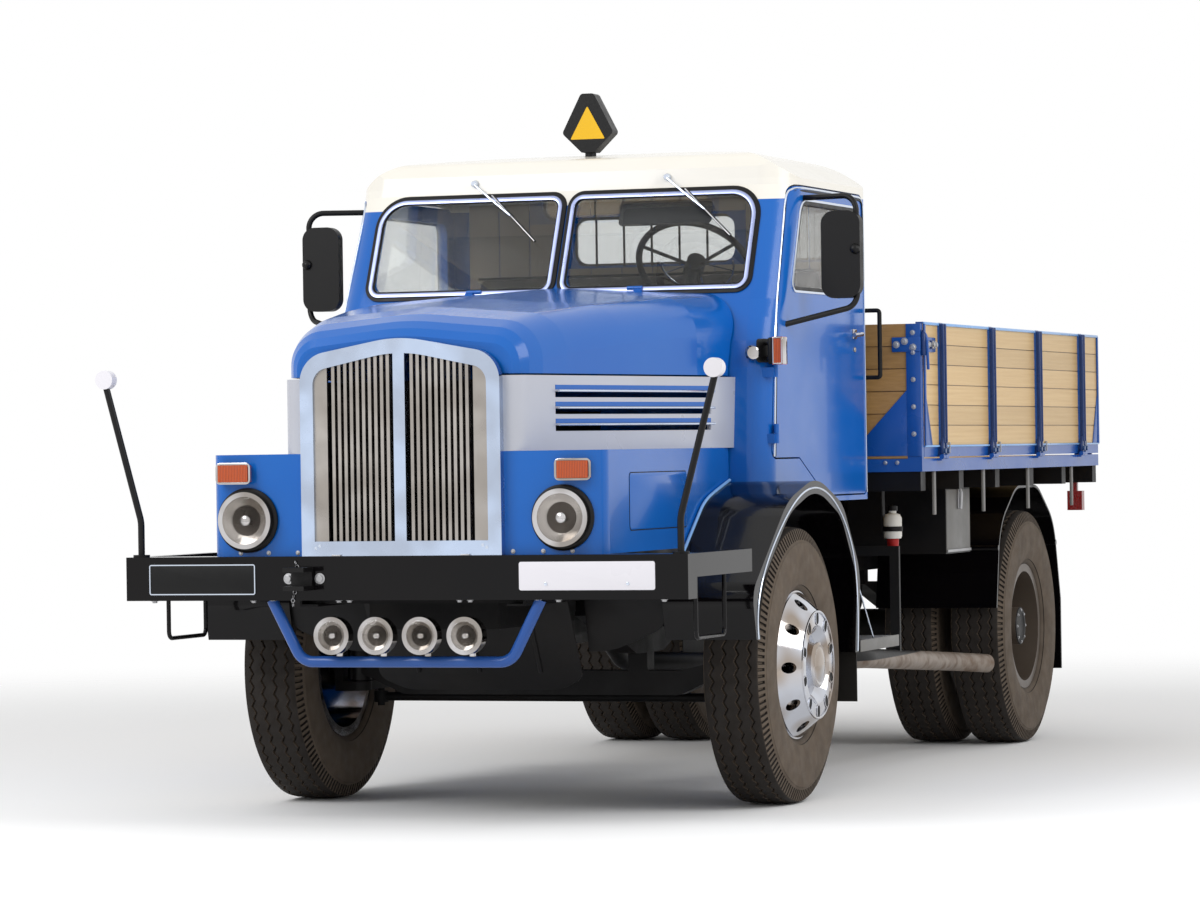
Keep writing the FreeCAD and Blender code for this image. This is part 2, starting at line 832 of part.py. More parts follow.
def make_lamps():
    shells, lenses = [], []
    places = (("fog_inner", "fog_lamp_inner_x", "fog_lamp_height", "fog_lamp_front", "fog_lamp_radius",
               "fog_lamp_depth"),
              ("fog_outer", "fog_lamp_outer_x", "fog_lamp_height", "fog_lamp_front", "fog_lamp_radius",
               "fog_lamp_depth"),
              ("headlamp", "headlamp_x", "headlamp_height", "headlamp_front", "headlamp_radius",
               "headlamp_front - nose_front"))
    for place in places:
        shell, lens = lamp(*place)
        if place[0].startswith("fog"):
            foot = cylinder(f"{place[0]}_foot", "Z", (place[1], "-bar_y", "bar_bottom + bar_tube_radius"),
                            "fog_foot_radius", "fog_lamp_height - fog_lamp_radius - bar_bottom")
            shell = fuse(f"{place[0]}_housing", shell, foot)
        shells.append(shell)
        lenses.append(lens)
    node("lamp_housings", both_sides("lamp_housing_set", *shells))
    node("lamp_lenses", both_sides("lamp_lens_set", *lenses))
    drop = "bumper_bottom"
    bar = bent_tube("lamp_bar_tube", [
        ("-bar_top_x", "-bar_y", drop), ("-bar_bottom_x", "-bar_y", "bar_bottom"),
        ("bar_bottom_x", "-bar_y", "bar_bottom"), ("bar_top_x", "-bar_y", drop)],
        "bar_bend_radius", "bar_tube_radius")
    node("lamp_bar", cut("lamp_bar_trim", bar, box("bar_trim", (
        "-bumper_half_width", "-bumper_front", drop), ("bumper_half_width", "0", f"{drop} + bar_bottom_x"))))


def make_signal_lenses():
    low = ("signal_x - signal_half_length", "-nose_front - signal_depth", "signal_height - signal_half_height")
    high = ("signal_x + signal_half_length", "-nose_front", "signal_height + signal_half_height")
    front = box("signal_lens", low, high)
    reach = "cab_half_width + side_lamp_reach"
    side = box("side_lens", (f"{reach} - side_lamp_lens", "side_lamp_y",
                             "side_lamp_height - side_lamp_half_height"),
               (reach, "side_lamp_y + side_lamp_depth", "side_lamp_height + side_lamp_half_height"))
    node("signal_lenses", both_sides("signal_set", front, side))


# Nose, bonnet and grille


def make_nose_panels(cab_solid):
    outer, inner, skin = "nose_half_width", "nose_inner_x", "nose_thickness"
    rear = "cowl_foot_y"
    shell = prism("nose_outer", "XY", [
        (inner, "-nose_front"), (outer, "-nose_front", "nose_corner_radius"), (outer, rear), (inner, rear)],
        BUMPER_TOP, f"nose_top - {BUMPER_TOP}")
    hollow = prism("nose_hollow", "XY", [
        (f"{inner} + {skin}", f"-(nose_front - {skin})"),
        (f"{outer} - {skin}", f"-(nose_front - {skin})", f"nose_corner_radius - {skin}"),
        (f"{outer} - {skin}", f"{rear} + cut_overrun"), (f"{inner} + {skin}", f"{rear} + cut_overrun")],
        f"{BUMPER_TOP} - cut_overrun", f"nose_top - {BUMPER_TOP} - {skin} + cut_overrun")
    inside = box("nose_inside", (f"{inner} - cut_overrun", f"-(nose_front - {skin})", f"{BUMPER_TOP} - cut_overrun"),
                 (f"{inner} + 2 * {skin}", f"{rear} + cut_overrun", f"nose_top - {skin}"))
    arch = fender_form("nose_arch", "0 * fender_thickness", "0 * fender_thickness", "fender_outer_x")
    node("nose_panels", both_sides("nose_set", cut("nose_box", shell, hollow, inside, arch, cab_solid)))


def make_side_panels(cab_solid):
    skin = "panel_thickness"
    outer = [("panel_front_x", "-nose_front"), ("panel_corner_x", "-nose_front", "panel_corner_radius"),
             ("panel_rear_x", "cowl_y")]
    inner = [(f"panel_rear_x - {skin}", "cowl_y"),
             (f"panel_corner_x - {skin}", f"-nose_front + {skin}", f"panel_corner_radius - {skin}"),
             ("panel_front_x", f"-nose_front + {skin}")]
    strip = prism("side_panel_strip", "XY", outer + inner, "nose_top", "panel_top - nose_top")
    slots, lips = [], []
    for number in range(SIZES["louvre_count"]):
        foot = f"louvre_bottom + {number} * louvre_pitch"
        slots.append(box(f"louvre_slot_{number}", ("panel_corner_x", "-louvre_front", foot),
                         ("panel_rear_x + cut_overrun", "-louvre_rear", f"{foot} + louvre_height")))
        lips.append(prism(f"louvre_lip_{number}", "XY", louvre_lip(), f"{foot} + louvre_height",
                          "louvre_lip_thickness"))
    pierced = fuse("side_panel_lipped", cut("side_panel_pierced", strip, *slots), *lips)
    node("side_panels", both_sides("side_panel_set", cut("side_panel_seated", pierced, cab_solid)))


def louvre_lip():
    """The plan outline of the lip that stands out over a louvre, along the panel's slanting face."""
    slope = "(panel_rear_x - panel_corner_x) / (nose_front + cowl_y)"

    def face(place):
        return f"panel_corner_x + (nose_front - {place}) * {slope}"
    return [(f"{face('louvre_front')} - panel_thickness / 2", "-louvre_front"),
            (f"{face('louvre_front')} + louvre_lip_reach", "-louvre_front"),
            (f"{face('louvre_rear')} + louvre_lip_reach", "-louvre_rear"),
            (f"{face('louvre_rear')} - panel_thickness / 2", "-louvre_rear")]


HOOD_SIDE_SHARE = 0.8
HOOD_STATION_SHARES = (
    # place along the bonnet, width as a share of the flare, crown as a share of the rise
    (0.0, 0.9, -0.3),
    (0.012, 0.94, -0.12),
    (0.035, 0.975, 0.04),
    (0.08, 0.995, 0.2),
    (0.18, 1.0, 0.38),
    (0.42, 1.0, 0.62),
    (0.75, 1.0, 0.86),
    (1.05, 1.0, 1.03),
)


def hood_loft(name, inset):
    """The bonnet's skin as a loft through rounded sections, moved inwards by the inset."""
    front, rear = "-hood_front", "screen_foot_y"
    wires = []
    for place_share, width_share, crown_share in HOOD_STATION_SHARES:
        station = value(f"{front} + {place_share} * ({rear} - ({front}))")
        flare_share = min(1, value(f"({station} + nose_front) / (cowl_y + nose_front)"))
        half = value(f"{width_share} * (panel_corner_x + {flare_share} * (panel_rear_x - panel_corner_x)) - {inset}")
        crown = value(f"hood_crown_front + {crown_share} * (hood_crown_rear - hood_crown_front) - {inset}")
        shoulder = crown - value("hood_shoulder_drop")
        foot = value("hood_edge - cut_overrun") if value(inset) else value("hood_edge")
        radius = min(value(f"hood_shoulder_radius - {inset}"), (shoulder - value("hood_edge")) * HOOD_SIDE_SHARE)
        corners = [(-half, foot, 0), (-half, shoulder, radius), (0, crown, value("hood_crown_radius")),
                   (half, shoulder, radius), (half, foot, 0)]
        wires.append(section_wire(station, corners))
    return shaped(name, Part.makeLoft(wires, True, True))


def section_wire(station, corners):
    """A closed wire across the truck at one station, its corners rounded."""
    path = rounded_path(corners)
    edges = []
    for index, (point, radius, before, after, centre, turn) in enumerate(path):
        if radius:
            middle = centre + (point - centre).normalize() * radius
            edges.append(Part.Arc(*[FreeCAD.Vector(spot.x, station, spot.y) for spot in (before, middle, after)]))
        following = path[(index + 1) % len(path)][2]
        edges.append(Part.LineSegment(FreeCAD.Vector(after.x, station, after.y),
                                      FreeCAD.Vector(following.x, station, following.y)))
    return Part.Wire([edge.toShape() for edge in edges])


def make_hood():
    skin = cut("hood_skin", hood_loft("hood_outer", "0 * hood_thickness"), hood_loft("hood_inner", "hood_thickness"))
    rear_trim = prism("hood_trim", "YZ", cab_front_profile("-hood_gap") + [
        ("cab_rear", "roof_top"), ("cab_rear", "cab_bottom")],
        "-cab_half_width", "2 * cab_half_width")
    knuckle = hood_knuckle("hood_knuckle", "hood_hinge_x + hood_hinge_length + knuckle_play",
                           "-hood_hinge_radius * 5 / 2", "0")
    bore = cylinder("hood_knuckle_bore", "X", ("hood_hinge_x - cut_overrun", "hood_hinge_y", "hood_hinge_height"),
                    "hood_pin_radius + running_gap", "hood_hinge_length * 2 + cut_overrun * 2")
    fixed_room = both_sides("hood_fixed_room", box("hood_fixed_clear", (
        "hood_hinge_x - panel_gap", "hood_hinge_y - hood_hinge_radius - panel_gap",
        "hood_hinge_height - 3 * hood_hinge_radius - panel_gap"),
        ("hood_hinge_x + hood_hinge_length + knuckle_play", "hood_hinge_y + cut_overrun",
         "hood_hinge_height + hood_hinge_radius + panel_gap")))
    trimmed = cut("hood_trimmed", skin, rear_trim, fixed_room)
    hung = fuse("hood_joined", trimmed, both_sides("hood_knuckles", knuckle))
    node("hood", cut("hood_hung", hung, both_sides("hood_knuckle_bores", bore)))


def hood_knuckle(name, low_x, low_y, high_y):
    """A round hinge knuckle on the bonnet's axis, with a leaf that ties it to what it carries."""
    barrel = cylinder(name, "X", (low_x, "hood_hinge_y", "hood_hinge_height"), "hood_hinge_radius",
                      "hood_hinge_length")
    leaf = box(f"{name}_leaf", (low_x, f"hood_hinge_y + ({low_y})", "hood_hinge_height - 3 * hood_hinge_radius"),
               (f"{low_x} + hood_hinge_length", f"hood_hinge_y + ({high_y})",
                "hood_hinge_height - hood_hinge_radius / 2"))
    return fuse(f"{name}_unit", barrel, leaf)


def grille_outline(inset, bottom):
    """The grille's five-sided outline with a low peak, moved inwards by the inset."""
    half = f"(grille_half_width - {inset})"
    radius = f"grille_shoulder_radius - {inset}"
    return [(f"-{half}", bottom), (half, bottom), (half, f"grille_shoulder - {inset}", radius),
            ("0", f"grille_peak - {inset}", "grille_peak_radius"),
            (f"-{half}", f"grille_shoulder - {inset}", radius)]


def make_grille():
    front, depth = "-grille_front", "grille_depth"
    outer = prism("grille_plate", "XZ", grille_outline("0 * grille_bar", BUMPER_TOP), front, depth)
    opening = prism("grille_opening", "XZ", grille_outline("grille_bar", f"{BUMPER_TOP} + grille_sill"),
                    f"{front} - cut_overrun", f"{depth} + 2 * cut_overrun")
    centre = box("grille_centre", ("-grille_centre_bar / 2", front, BUMPER_TOP),
                 ("grille_centre_bar / 2", f"{front} + {depth}", "grille_peak - grille_bar / 2"))
    frame = fuse("grille_surround", cut("grille_ring", outer, opening), centre)
    node("grille_frame", frame)
    inside = prism("slat_limit", "XZ", grille_outline("grille_bar", f"{BUMPER_TOP} + grille_sill"),
                   f"{front} + slat_setback", "slat_depth")
    slats = []
    field = "(grille_half_width - grille_bar - slat_plate_width - grille_centre_bar / 2)"
    for number in range(SIZES["slat_count"]):
        middle = f"grille_centre_bar / 2 + {field} * {number + 1} / (slat_count + 1)"
        slats.append(box(f"slat_{number}", (f"{middle} - slat_width / 2", f"{front} + slat_setback", BUMPER_TOP),
                         (f"{middle} + slat_width / 2", f"{front} + slat_setback + slat_depth", "grille_peak")))
    slats.append(box("slat_plate", ("grille_half_width - grille_bar - slat_plate_width",
                                    f"{front} + slat_setback", BUMPER_TOP),
                     ("grille_half_width - grille_bar + cut_overrun",
                      f"{front} + slat_setback + slat_depth / 2", "grille_peak")))
    node("grille_slats", common("grille_slat_field", both_sides("slat_set", *slats), inside))


# Fenders


def fender_form(name, inset, inner_x, outer_x):
    """The solid under the front fender's curve, its skin moved inwards by the inset."""
    inset = f"({inset})"
    low = "fender_end_height"
    corners = [
        (f"-(fender_tip_front - {inset})", low),
        (f"-(fender_tip_front - {inset})", "fender_tip_height"),
        (f"-(fender_front - {inset})", f"fender_front_height - {inset} / 2", "fender_small_radius"),
        (f"-(fender_brow_y - {inset} / 2)", f"fender_brow_height - {inset}", "fender_large_radius"),
        ("fender_top_y", f"fender_top - {inset}", "fender_large_radius"),
        (f"fender_rear_brow_y - {inset} / 2", f"fender_rear_brow_height - {inset}", "fender_large_radius / 2"),
        (f"fender_rear - {inset}", f"fender_rear_height - {inset} / 2", "fender_small_radius * 2"),
        (f"fender_end - {inset}", low)]
    return prism(name, "YZ", corners, inner_x, f"{outer_x} - ({inner_x})")


def make_front_fenders():
    outer = fender_form("fender_outer", "0 * fender_thickness", FENDER_INNER, "fender_outer_x")
    inner = fender_form("fender_inner", "fender_thickness", f"{FENDER_INNER} - cut_overrun",
                        "fender_outer_x + cut_overrun")
    tip = box("fender_tip_trim", (f"{FENDER_INNER} - cut_overrun", "-fender_front - cut_overrun", "0"),
              ("fender_outer_x + cut_overrun", "0", "fender_tip_height"))
    skin = cut("fender_skin", outer, inner, tip)
    lip_outer = fender_form("fender_lip_outer", "fender_thickness / 2", "fender_outer_x - fender_thickness",
                            "fender_outer_x")
    lip_inner = fender_form("fender_lip_inner", "fender_lip + fender_thickness",
                            "fender_outer_x - fender_thickness - cut_overrun", "fender_outer_x + cut_overrun")
    lip = cut("fender_rolled_lip", lip_outer, lip_inner, tip)
    house = fender_form("wheelhouse_form", "fender_thickness / 2", FENDER_INNER,
                        f"{FENDER_INNER} + fender_thickness")
    below = box("wheelhouse_below", (f"{FENDER_INNER} - cut_overrun", "-fender_front - cut_overrun", "0"),
                ("fender_outer_x", "fender_rear + cut_overrun", "cab_bottom"))
    wall = cut("wheelhouse_wall", house, below)
    node("front_fenders", both_sides("front_fender_set", fuse("fender_joined", skin, lip, wall)))


def rear_fender_corners(inset):
    front = f"wheelbase - (rear_fender_reach - {inset})"
    return [(front, "rear_fender_foot"),
            (f"wheelbase - (rear_fender_brow - {inset} / 2)", f"rear_fender_brow_height - {inset} / 2",
             "fender_small_radius * 3"),
            (f"wheelbase - rear_fender_top_half", f"bed_floor_bottom - bearer_height - {inset}", "fender_small_radius * 3"),
            (f"wheelbase + rear_fender_top_half", f"bed_floor_bottom - bearer_height - {inset}", "fender_small_radius * 3"),
            (f"wheelbase + rear_fender_brow - {inset} / 2", f"rear_fender_brow_height - {inset} / 2",
             "fender_small_radius * 3"),
            (f"wheelbase + rear_fender_tail - {inset}", "rear_fender_foot"),
            (f"wheelbase + rear_fender_tail - {inset}", "rear_fender_tail_foot"),
            (front, "rear_fender_tail_foot")]


def make_rear_fenders():
    span = "rear_fender_outer_x - rear_fender_inner_x"
    outer = prism("rear_fender_outer", "YZ", rear_fender_corners("0 * fender_thickness"),
                  "rear_fender_inner_x", span)
    inner = prism("rear_fender_inner", "YZ", rear_fender_corners("fender_thickness"),
                  "rear_fender_inner_x - cut_overrun", f"{span} + 2 * cut_overrun")
    open_front = box("rear_fender_open", ("rear_fender_inner_x - cut_overrun",
                                          "wheelbase - rear_fender_reach - cut_overrun", "0"),
                     ("rear_fender_outer_x + cut_overrun", "wheelbase", "rear_fender_foot"))
    floor_cut = box("rear_fender_floor", ("rear_fender_inner_x - cut_overrun", "wheelbase - cut_overrun", "0"),
                    ("rear_fender_outer_x + cut_overrun", "wheelbase + rear_fender_tail - fender_thickness",
                     "rear_fender_tail_foot + fender_thickness"))
    skin = cut("rear_fender_skin", outer, inner, open_front, floor_cut)
    stay_height = "(frame_bottom + rail_height / 2)"
    rise = f"({stay_height} - rear_fender_foot) / (rear_fender_brow_height - rear_fender_foot)"
    places = (f"wheelbase - rear_fender_reach + (rear_fender_reach - rear_fender_brow) * {rise}",
              f"wheelbase + rear_fender_tail - (rear_fender_tail - rear_fender_brow) * {rise}")
    stays = [cylinder(f"fender_stay_{number}", "X", ("frame_half_width", place, stay_height), "fender_stay_radius",
                      "rear_fender_outer_x - frame_half_width") for number, place in enumerate(places)]
    node("rear_fenders", both_sides("rear_fender_set", fuse("rear_fender_joined", skin, *stays)))


# Cab


def cab_front_profile(inset):
    """The cab's front line from its foot to the head of the windscreen, as points across the YZ plane."""
    return [(f"cowl_foot_y + {inset}", "cab_bottom"), (f"cowl_y + {inset}", "cowl_height"),
            (f"scuttle_y + {inset}", "scuttle_height"), (f"sill_y + {inset}", "sill_height"),
            (f"screen_foot_y + {inset}", "screen_foot_height"), (f"screen_head_y + {inset}", "screen_head_height"),
            (f"roof_brow_y + {inset}", "roof_brow_height")]


CAB_STATION_SHARES = (
    # height, front line, growth of the front corner's radius as a share of itself
    ("cab_bottom", "cowl_foot_y", 0),
    ("cowl_height", "cowl_y", 0),
    ("scuttle_height", "scuttle_y", 0.1),
    ("sill_height", "sill_y", 0.16),
    ("screen_foot_height", "screen_foot_y", 0.22),
    ("screen_head_height", "screen_head_y", 0.5),
    ("roof_top", "roof_brow_y", 0.7),
)


def cab_form(name, inset):
    """The cab's closed outer form, each face moved inwards by the inset."""
    inset = f"({inset})"
    depth = value(inset)
    wires = []
    for height, front, share in CAB_STATION_SHARES:
        level = value(height)
        half = value("cab_half_width") - depth
        front_y, rear_y = value(front) + depth, value("cab_rear") - depth
        front_radius = value("cab_corner_radius") * (1 + share) - depth / 2
        rear_radius = value("cab_rear_radius") - depth / 2
        corners = [(-half, front_y, front_radius), (half, front_y, front_radius),
                   (half, rear_y, rear_radius), (-half, rear_y, rear_radius)]
        wires.append(level_wire(level, corners))
    loft = shaped(f"{name}_loft", Part.makeLoft(wires, True, True))
    fall = "(roof_edge - roof_shoulder) / (cab_half_width - roof_edge_half_width)"
    crown = prism(f"{name}_crown", "XZ", [
        (f"-(cab_half_width + cut_overrun)", f"cab_bottom + {inset}"),
        (f"cab_half_width + cut_overrun", f"cab_bottom + {inset}"),
        (f"cab_half_width + cut_overrun", f"roof_shoulder - {inset} / 2 - cut_overrun * {fall}"),
        (f"roof_edge_half_width - {inset} / 3", f"roof_edge - {inset}", "roof_fall_radius"),
        ("0", f"roof_top - {inset}", "roof_crown_radius"),
        (f"-(roof_edge_half_width - {inset} / 3)", f"roof_edge - {inset}", "roof_fall_radius"),
        (f"-(cab_half_width + cut_overrun)", f"roof_shoulder - {inset} / 2 - cut_overrun * {fall}")],
        "0", "cab_rear + cut_overrun")
    brow = prism(f"{name}_brow", "YZ", [
        ("-cut_overrun", f"cab_bottom + {inset}"), ("-cut_overrun", "roof_seam"),
        (f"screen_head_y + {inset} - cut_overrun", f"roof_seam - {inset}"),
        (f"roof_brow_y + {inset} + cut_overrun", f"roof_brow_height - {inset}", "roof_edge_radius / 2"),
        ("roof_top_y", f"roof_top - {inset}", "roof_crown_radius"),
        (f"cab_rear - {inset} + 0 * cut_overrun", f"roof_rear_height - {inset}", "roof_edge_radius"),
        (f"cab_rear - {inset} + 0 * cut_overrun", f"cab_bottom + {inset}")],
        "-cab_half_width - cut_overrun", "2 * (cab_half_width + cut_overrun)")
    return common(name, loft, crown, brow)


def level_wire(level, corners):
    """A closed wire at one height, its corners rounded."""
    path = rounded_path(corners)
    edges = []
    for index, (point, radius, before, after, centre, turn) in enumerate(path):
        if radius:
            middle = centre + (point - centre).normalize() * radius
            edges.append(Part.Arc(*[FreeCAD.Vector(spot.x, spot.y, level) for spot in (before, middle, after)]))
        following = path[(index + 1) % len(path)][2]
        edges.append(Part.LineSegment(FreeCAD.Vector(after.x, after.y, level),
                                      FreeCAD.Vector(following.x, following.y, level)))
    return Part.Wire([edge.toShape() for edge in edges])


def door_corners(gap):
    """The door's outline seen from the side, made smaller by the gap all round."""
    return [(f"door_front_low_y + {gap}", f"door_front_bottom + {gap}", "door_foot_radius"),
            (f"door_front_belt_y + {gap}", "door_front_belt_height", "door_corner_radius * 5"),
            (f"door_front_top_y + {gap}", f"door_top - {gap}", "door_corner_radius"),
            (f"door_rear_y - {gap}", f"door_top - {gap}", "door_corner_radius"),
            (f"door_rear_y - {gap}", f"door_bottom + {gap}", "door_foot_radius"),
            ("door_rise_y", f"door_bottom + {gap}", "door_foot_radius"),
            ("door_step_y", f"door_front_bottom + {gap}", "door_foot_radius")]


def window_corners():
    return [("window_front_low_y", "window_bottom", "window_radius"),
            ("window_front_top_y", "window_top", "window_radius"),
            ("window_rear_y", "window_top", "window_radius"),
            ("window_rear_y", "window_bottom", "window_radius")]


def screen_corners():
    return [("screen_inner_x", "screen_bottom", "screen_corner_radius"),
            ("screen_inner_x", "screen_top", "screen_corner_radius"),
            ("screen_outer_x", "screen_top", "screen_corner_radius"),
            ("screen_outer_x", "screen_bottom", "screen_corner_radius")]


def make_cab(cab_solid):
    shell = cut("cab_skin", cab_solid, cab_form("cab_inner", "cab_wall"))
    side_x, side_length = "cab_half_width - 4 * cab_wall", "cab_half_width"
    door_hole = prism("door_hole", "YZ", door_corners("0 * door_gap"), side_x, side_length)
    screen = prism("screen_hole", "XZ", screen_corners(), "0", "roof_top_y / 2 + cut_overrun * 6")
    rear_window = prism("rear_window_hole", "XZ", [
        ("-rear_window_half_width", "rear_window_bottom", "screen_corner_radius"),
        ("-rear_window_half_width", "rear_window_top", "screen_corner_radius"),
        ("rear_window_half_width", "rear_window_top", "screen_corner_radius"),
        ("rear_window_half_width", "rear_window_bottom", "screen_corner_radius")],
        "cab_rear - 2 * cab_wall", "3 * cab_wall")
    arch = fender_form("cab_arch", "0 * fender_thickness", FENDER_INNER, "fender_outer_x")
    holes = [door_hole, mirrored("door_hole_right", door_hole), screen, mirrored("screen_hole_right", screen),
             rear_window, arch, mirrored("cab_arch_right", arch)]
    open_shell = cut("cab_open", shell, *holes)
    above = box("roof_limit", ("-cab_half_width", "0", "roof_seam"),
                ("cab_half_width", "cab_rear + cut_overrun", "roof_top + cut_overrun"))
    knuckle = hood_knuckle("cab_knuckle", "hood_hinge_x", "0", "hood_hinge_radius * 3")
    pin = cylinder("hood_pin", "X", ("hood_hinge_x", "hood_hinge_y", "hood_hinge_height"), "hood_pin_radius",
                   "hood_hinge_length * 2")
    fixed_hinges, door_hinges, door_bores = door_hinge_set()
    hinges = both_sides("cab_hinges", knuckle, pin, *fixed_hinges)
    node("cab_shell", fuse("cab_with_hinges", cut("cab_lower", open_shell, above), hinges))
    node("cab_roof", common("cab_upper", open_shell, above))
    pane = cut("pane_skin", cab_form("pane_outer", "glass_setback"),
               cab_form("pane_inner", "glass_setback + glass_thickness"))
    node("cab_glass", common("fixed_panes", pane, fuse("pane_openings", screen,
                                                       mirrored("screen_pane_right", screen), rear_window)))
    window = prism("window_hole", "YZ", window_corners(), side_x, side_length)
    door_form = prism("door_form", "YZ", door_corners("door_gap"), side_x, side_length)
    panel = cut("door_panel", common("door_skin", shell, door_form), window)
    door = cut("door_bored", fuse("door_with_hinges", panel, *door_hinges), *door_bores)
    door_pane = common("door_pane", pane, window)
    pair_of_nodes("door", door)
    pair_of_nodes("door_glass", door_pane)


def door_hinge_set():
    """For both hinges of the left door: the pillar's pieces, the door's pieces and the bores."""
    axis_x = "cab_half_width + door_hinge_offset"
    fixed, moving, bores = [], [], []
    for name in ("door_hinge_low", "door_hinge_high"):
        middle = f"{name} + door_hinge_length + knuckle_play"
        fixed.append(cylinder(f"{name}_base", "Z", (axis_x, "door_hinge_y", name), "door_hinge_radius",
                              "door_hinge_length"))
        fixed.append(cylinder(f"{name}_pin", "Z", (axis_x, "door_hinge_y", name), "door_pin_radius",
                              "2 * door_hinge_length + knuckle_play"))
        fixed.append(box(f"{name}_base_leaf", ("cab_half_width - cab_wall", "door_hinge_y - 2 * door_hinge_radius", name),
                         (axis_x, "door_hinge_y", f"{name} + door_hinge_length")))
        moving.append(cylinder(f"{name}_eye", "Z", (axis_x, "door_hinge_y", middle), "door_hinge_radius",
                               "door_hinge_length"))
        plate_x = f"{axis_x} - door_leaf_thickness"
        moving.append(box(f"{name}_leaf", (plate_x, "door_hinge_y", middle),
                          (axis_x, "door_hinge_y + door_leaf_length", f"{middle} + door_hinge_length")))
        moving.append(box(f"{name}_foot", ("cab_half_width - cab_wall / 2",
                                           "door_hinge_y + door_leaf_length - door_leaf_foot", middle),
                          (plate_x, "door_hinge_y + door_leaf_length", f"{middle} + door_hinge_length")))
        bores.append(cylinder(f"{name}_bore", "Z", (axis_x, "door_hinge_y", name), "door_pin_radius + running_gap",
                              "3 * door_hinge_length"))
    return fixed, moving, bores


def make_mirrors():
    arm = bent_tube("mirror_arm", [
        ("cab_half_width - cab_wall / 2", "mirror_mount_top_y", "mirror_arm_top"),
        ("mirror_arm_reach", "mirror_y", "mirror_arm_top"),
        ("mirror_arm_reach", "mirror_y", "mirror_arm_bottom"),
        ("cab_half_width - cab_wall / 2", "mirror_mount_bottom_y", "mirror_mount_bottom")],
        "mirror_arm_bend", "mirror_arm_radius")
    inside = box("mirror_trim", ("0", "0", "cab_bottom"), ("cab_half_width", "cab_rear", "roof_top"))
    half_width, half_height = "mirror_width / 2", "mirror_height / 2"
    housing = prism("mirror_housing", "XZ", [
        (f"mirror_x - {half_width}", f"mirror_centre_height - {half_height}", "mirror_radius"),
        (f"mirror_x - {half_width}", f"mirror_centre_height + {half_height}", "mirror_radius"),
        (f"mirror_x + {half_width}", f"mirror_centre_height + {half_height}", "mirror_radius"),
        (f"mirror_x + {half_width}", f"mirror_centre_height - {half_height}", "mirror_radius")],
        "mirror_y - mirror_depth / 2", "mirror_depth")
    pair_of_nodes("mirror", fuse("mirror_unit", cut("mirror_arm_seated", arm, inside), housing))


def make_cab_fittings(cab_solid):
    rail = bent_tube("grab_handle", [
        ("cab_half_width - cab_wall", "handle_y", "handle_top"),
        ("cab_half_width + handle_standoff", "handle_y", "handle_top"),
        ("cab_half_width + handle_standoff", "handle_y", "handle_bottom"),
        ("cab_half_width - cab_wall", "handle_y", "handle_bottom")],
        "handle_bend_radius", "handle_radius")
    reach = "cab_half_width + side_lamp_reach - side_lamp_lens"
    mount = box("side_lamp_mount", ("cab_half_width - cab_corner_radius", "side_lamp_y",
                                    "side_lamp_height - side_lamp_half_height"),
                (reach, "side_lamp_y + side_lamp_depth", "side_lamp_height + side_lamp_half_height"))
    lean = "(screen_head_y - screen_foot_y) / (screen_head_height - screen_foot_height)"

    def screen_y(height):
        return f"screen_foot_y + ({height} - screen_foot_height) * {lean} - wiper_standoff"
    wiper = bent_tube("wiper", [
        ("wiper_pivot_x", f"{screen_y('wiper_pivot_height')} + 2 * wiper_standoff", "wiper_pivot_height"),
        ("wiper_pivot_x", screen_y("wiper_pivot_height"), "wiper_pivot_height"),
        ("wiper_pivot_x - wiper_end_x", screen_y("wiper_end_height"), "wiper_end_height")],
        "wiper_radius * 2", "wiper_radius")
    fittings = cut("cab_fitting_trim", both_sides("cab_fitting_set", rail, mount, wiper), cab_solid)
    node("cab_fittings", fittings)


def make_roof_sign(cab_solid):
    middle = "sign_bottom + sign_height / 3"
    half = "sign_width / 2"
    board = prism("sign_board", "XZ", [
        (f"-{half} / 4", "sign_bottom"), (f"{half} / 4", "sign_bottom"), (half, middle, "sign_corner_radius"),
        (f"{half} / 4", "sign_bottom + sign_height", "sign_corner_radius"),
        (f"-{half} / 4", "sign_bottom + sign_height", "sign_corner_radius"), (f"-{half}", middle, "sign_corner_radius")],
        "sign_y - sign_depth / 2", "sign_depth")
    neck = cylinder("sign_neck", "Z", ("0", "sign_y", "roof_edge"), "sign_neck_radius", "sign_bottom - roof_edge")
    node("roof_sign", cut("sign_seated", fuse("sign_unit", board, neck), cab_solid))


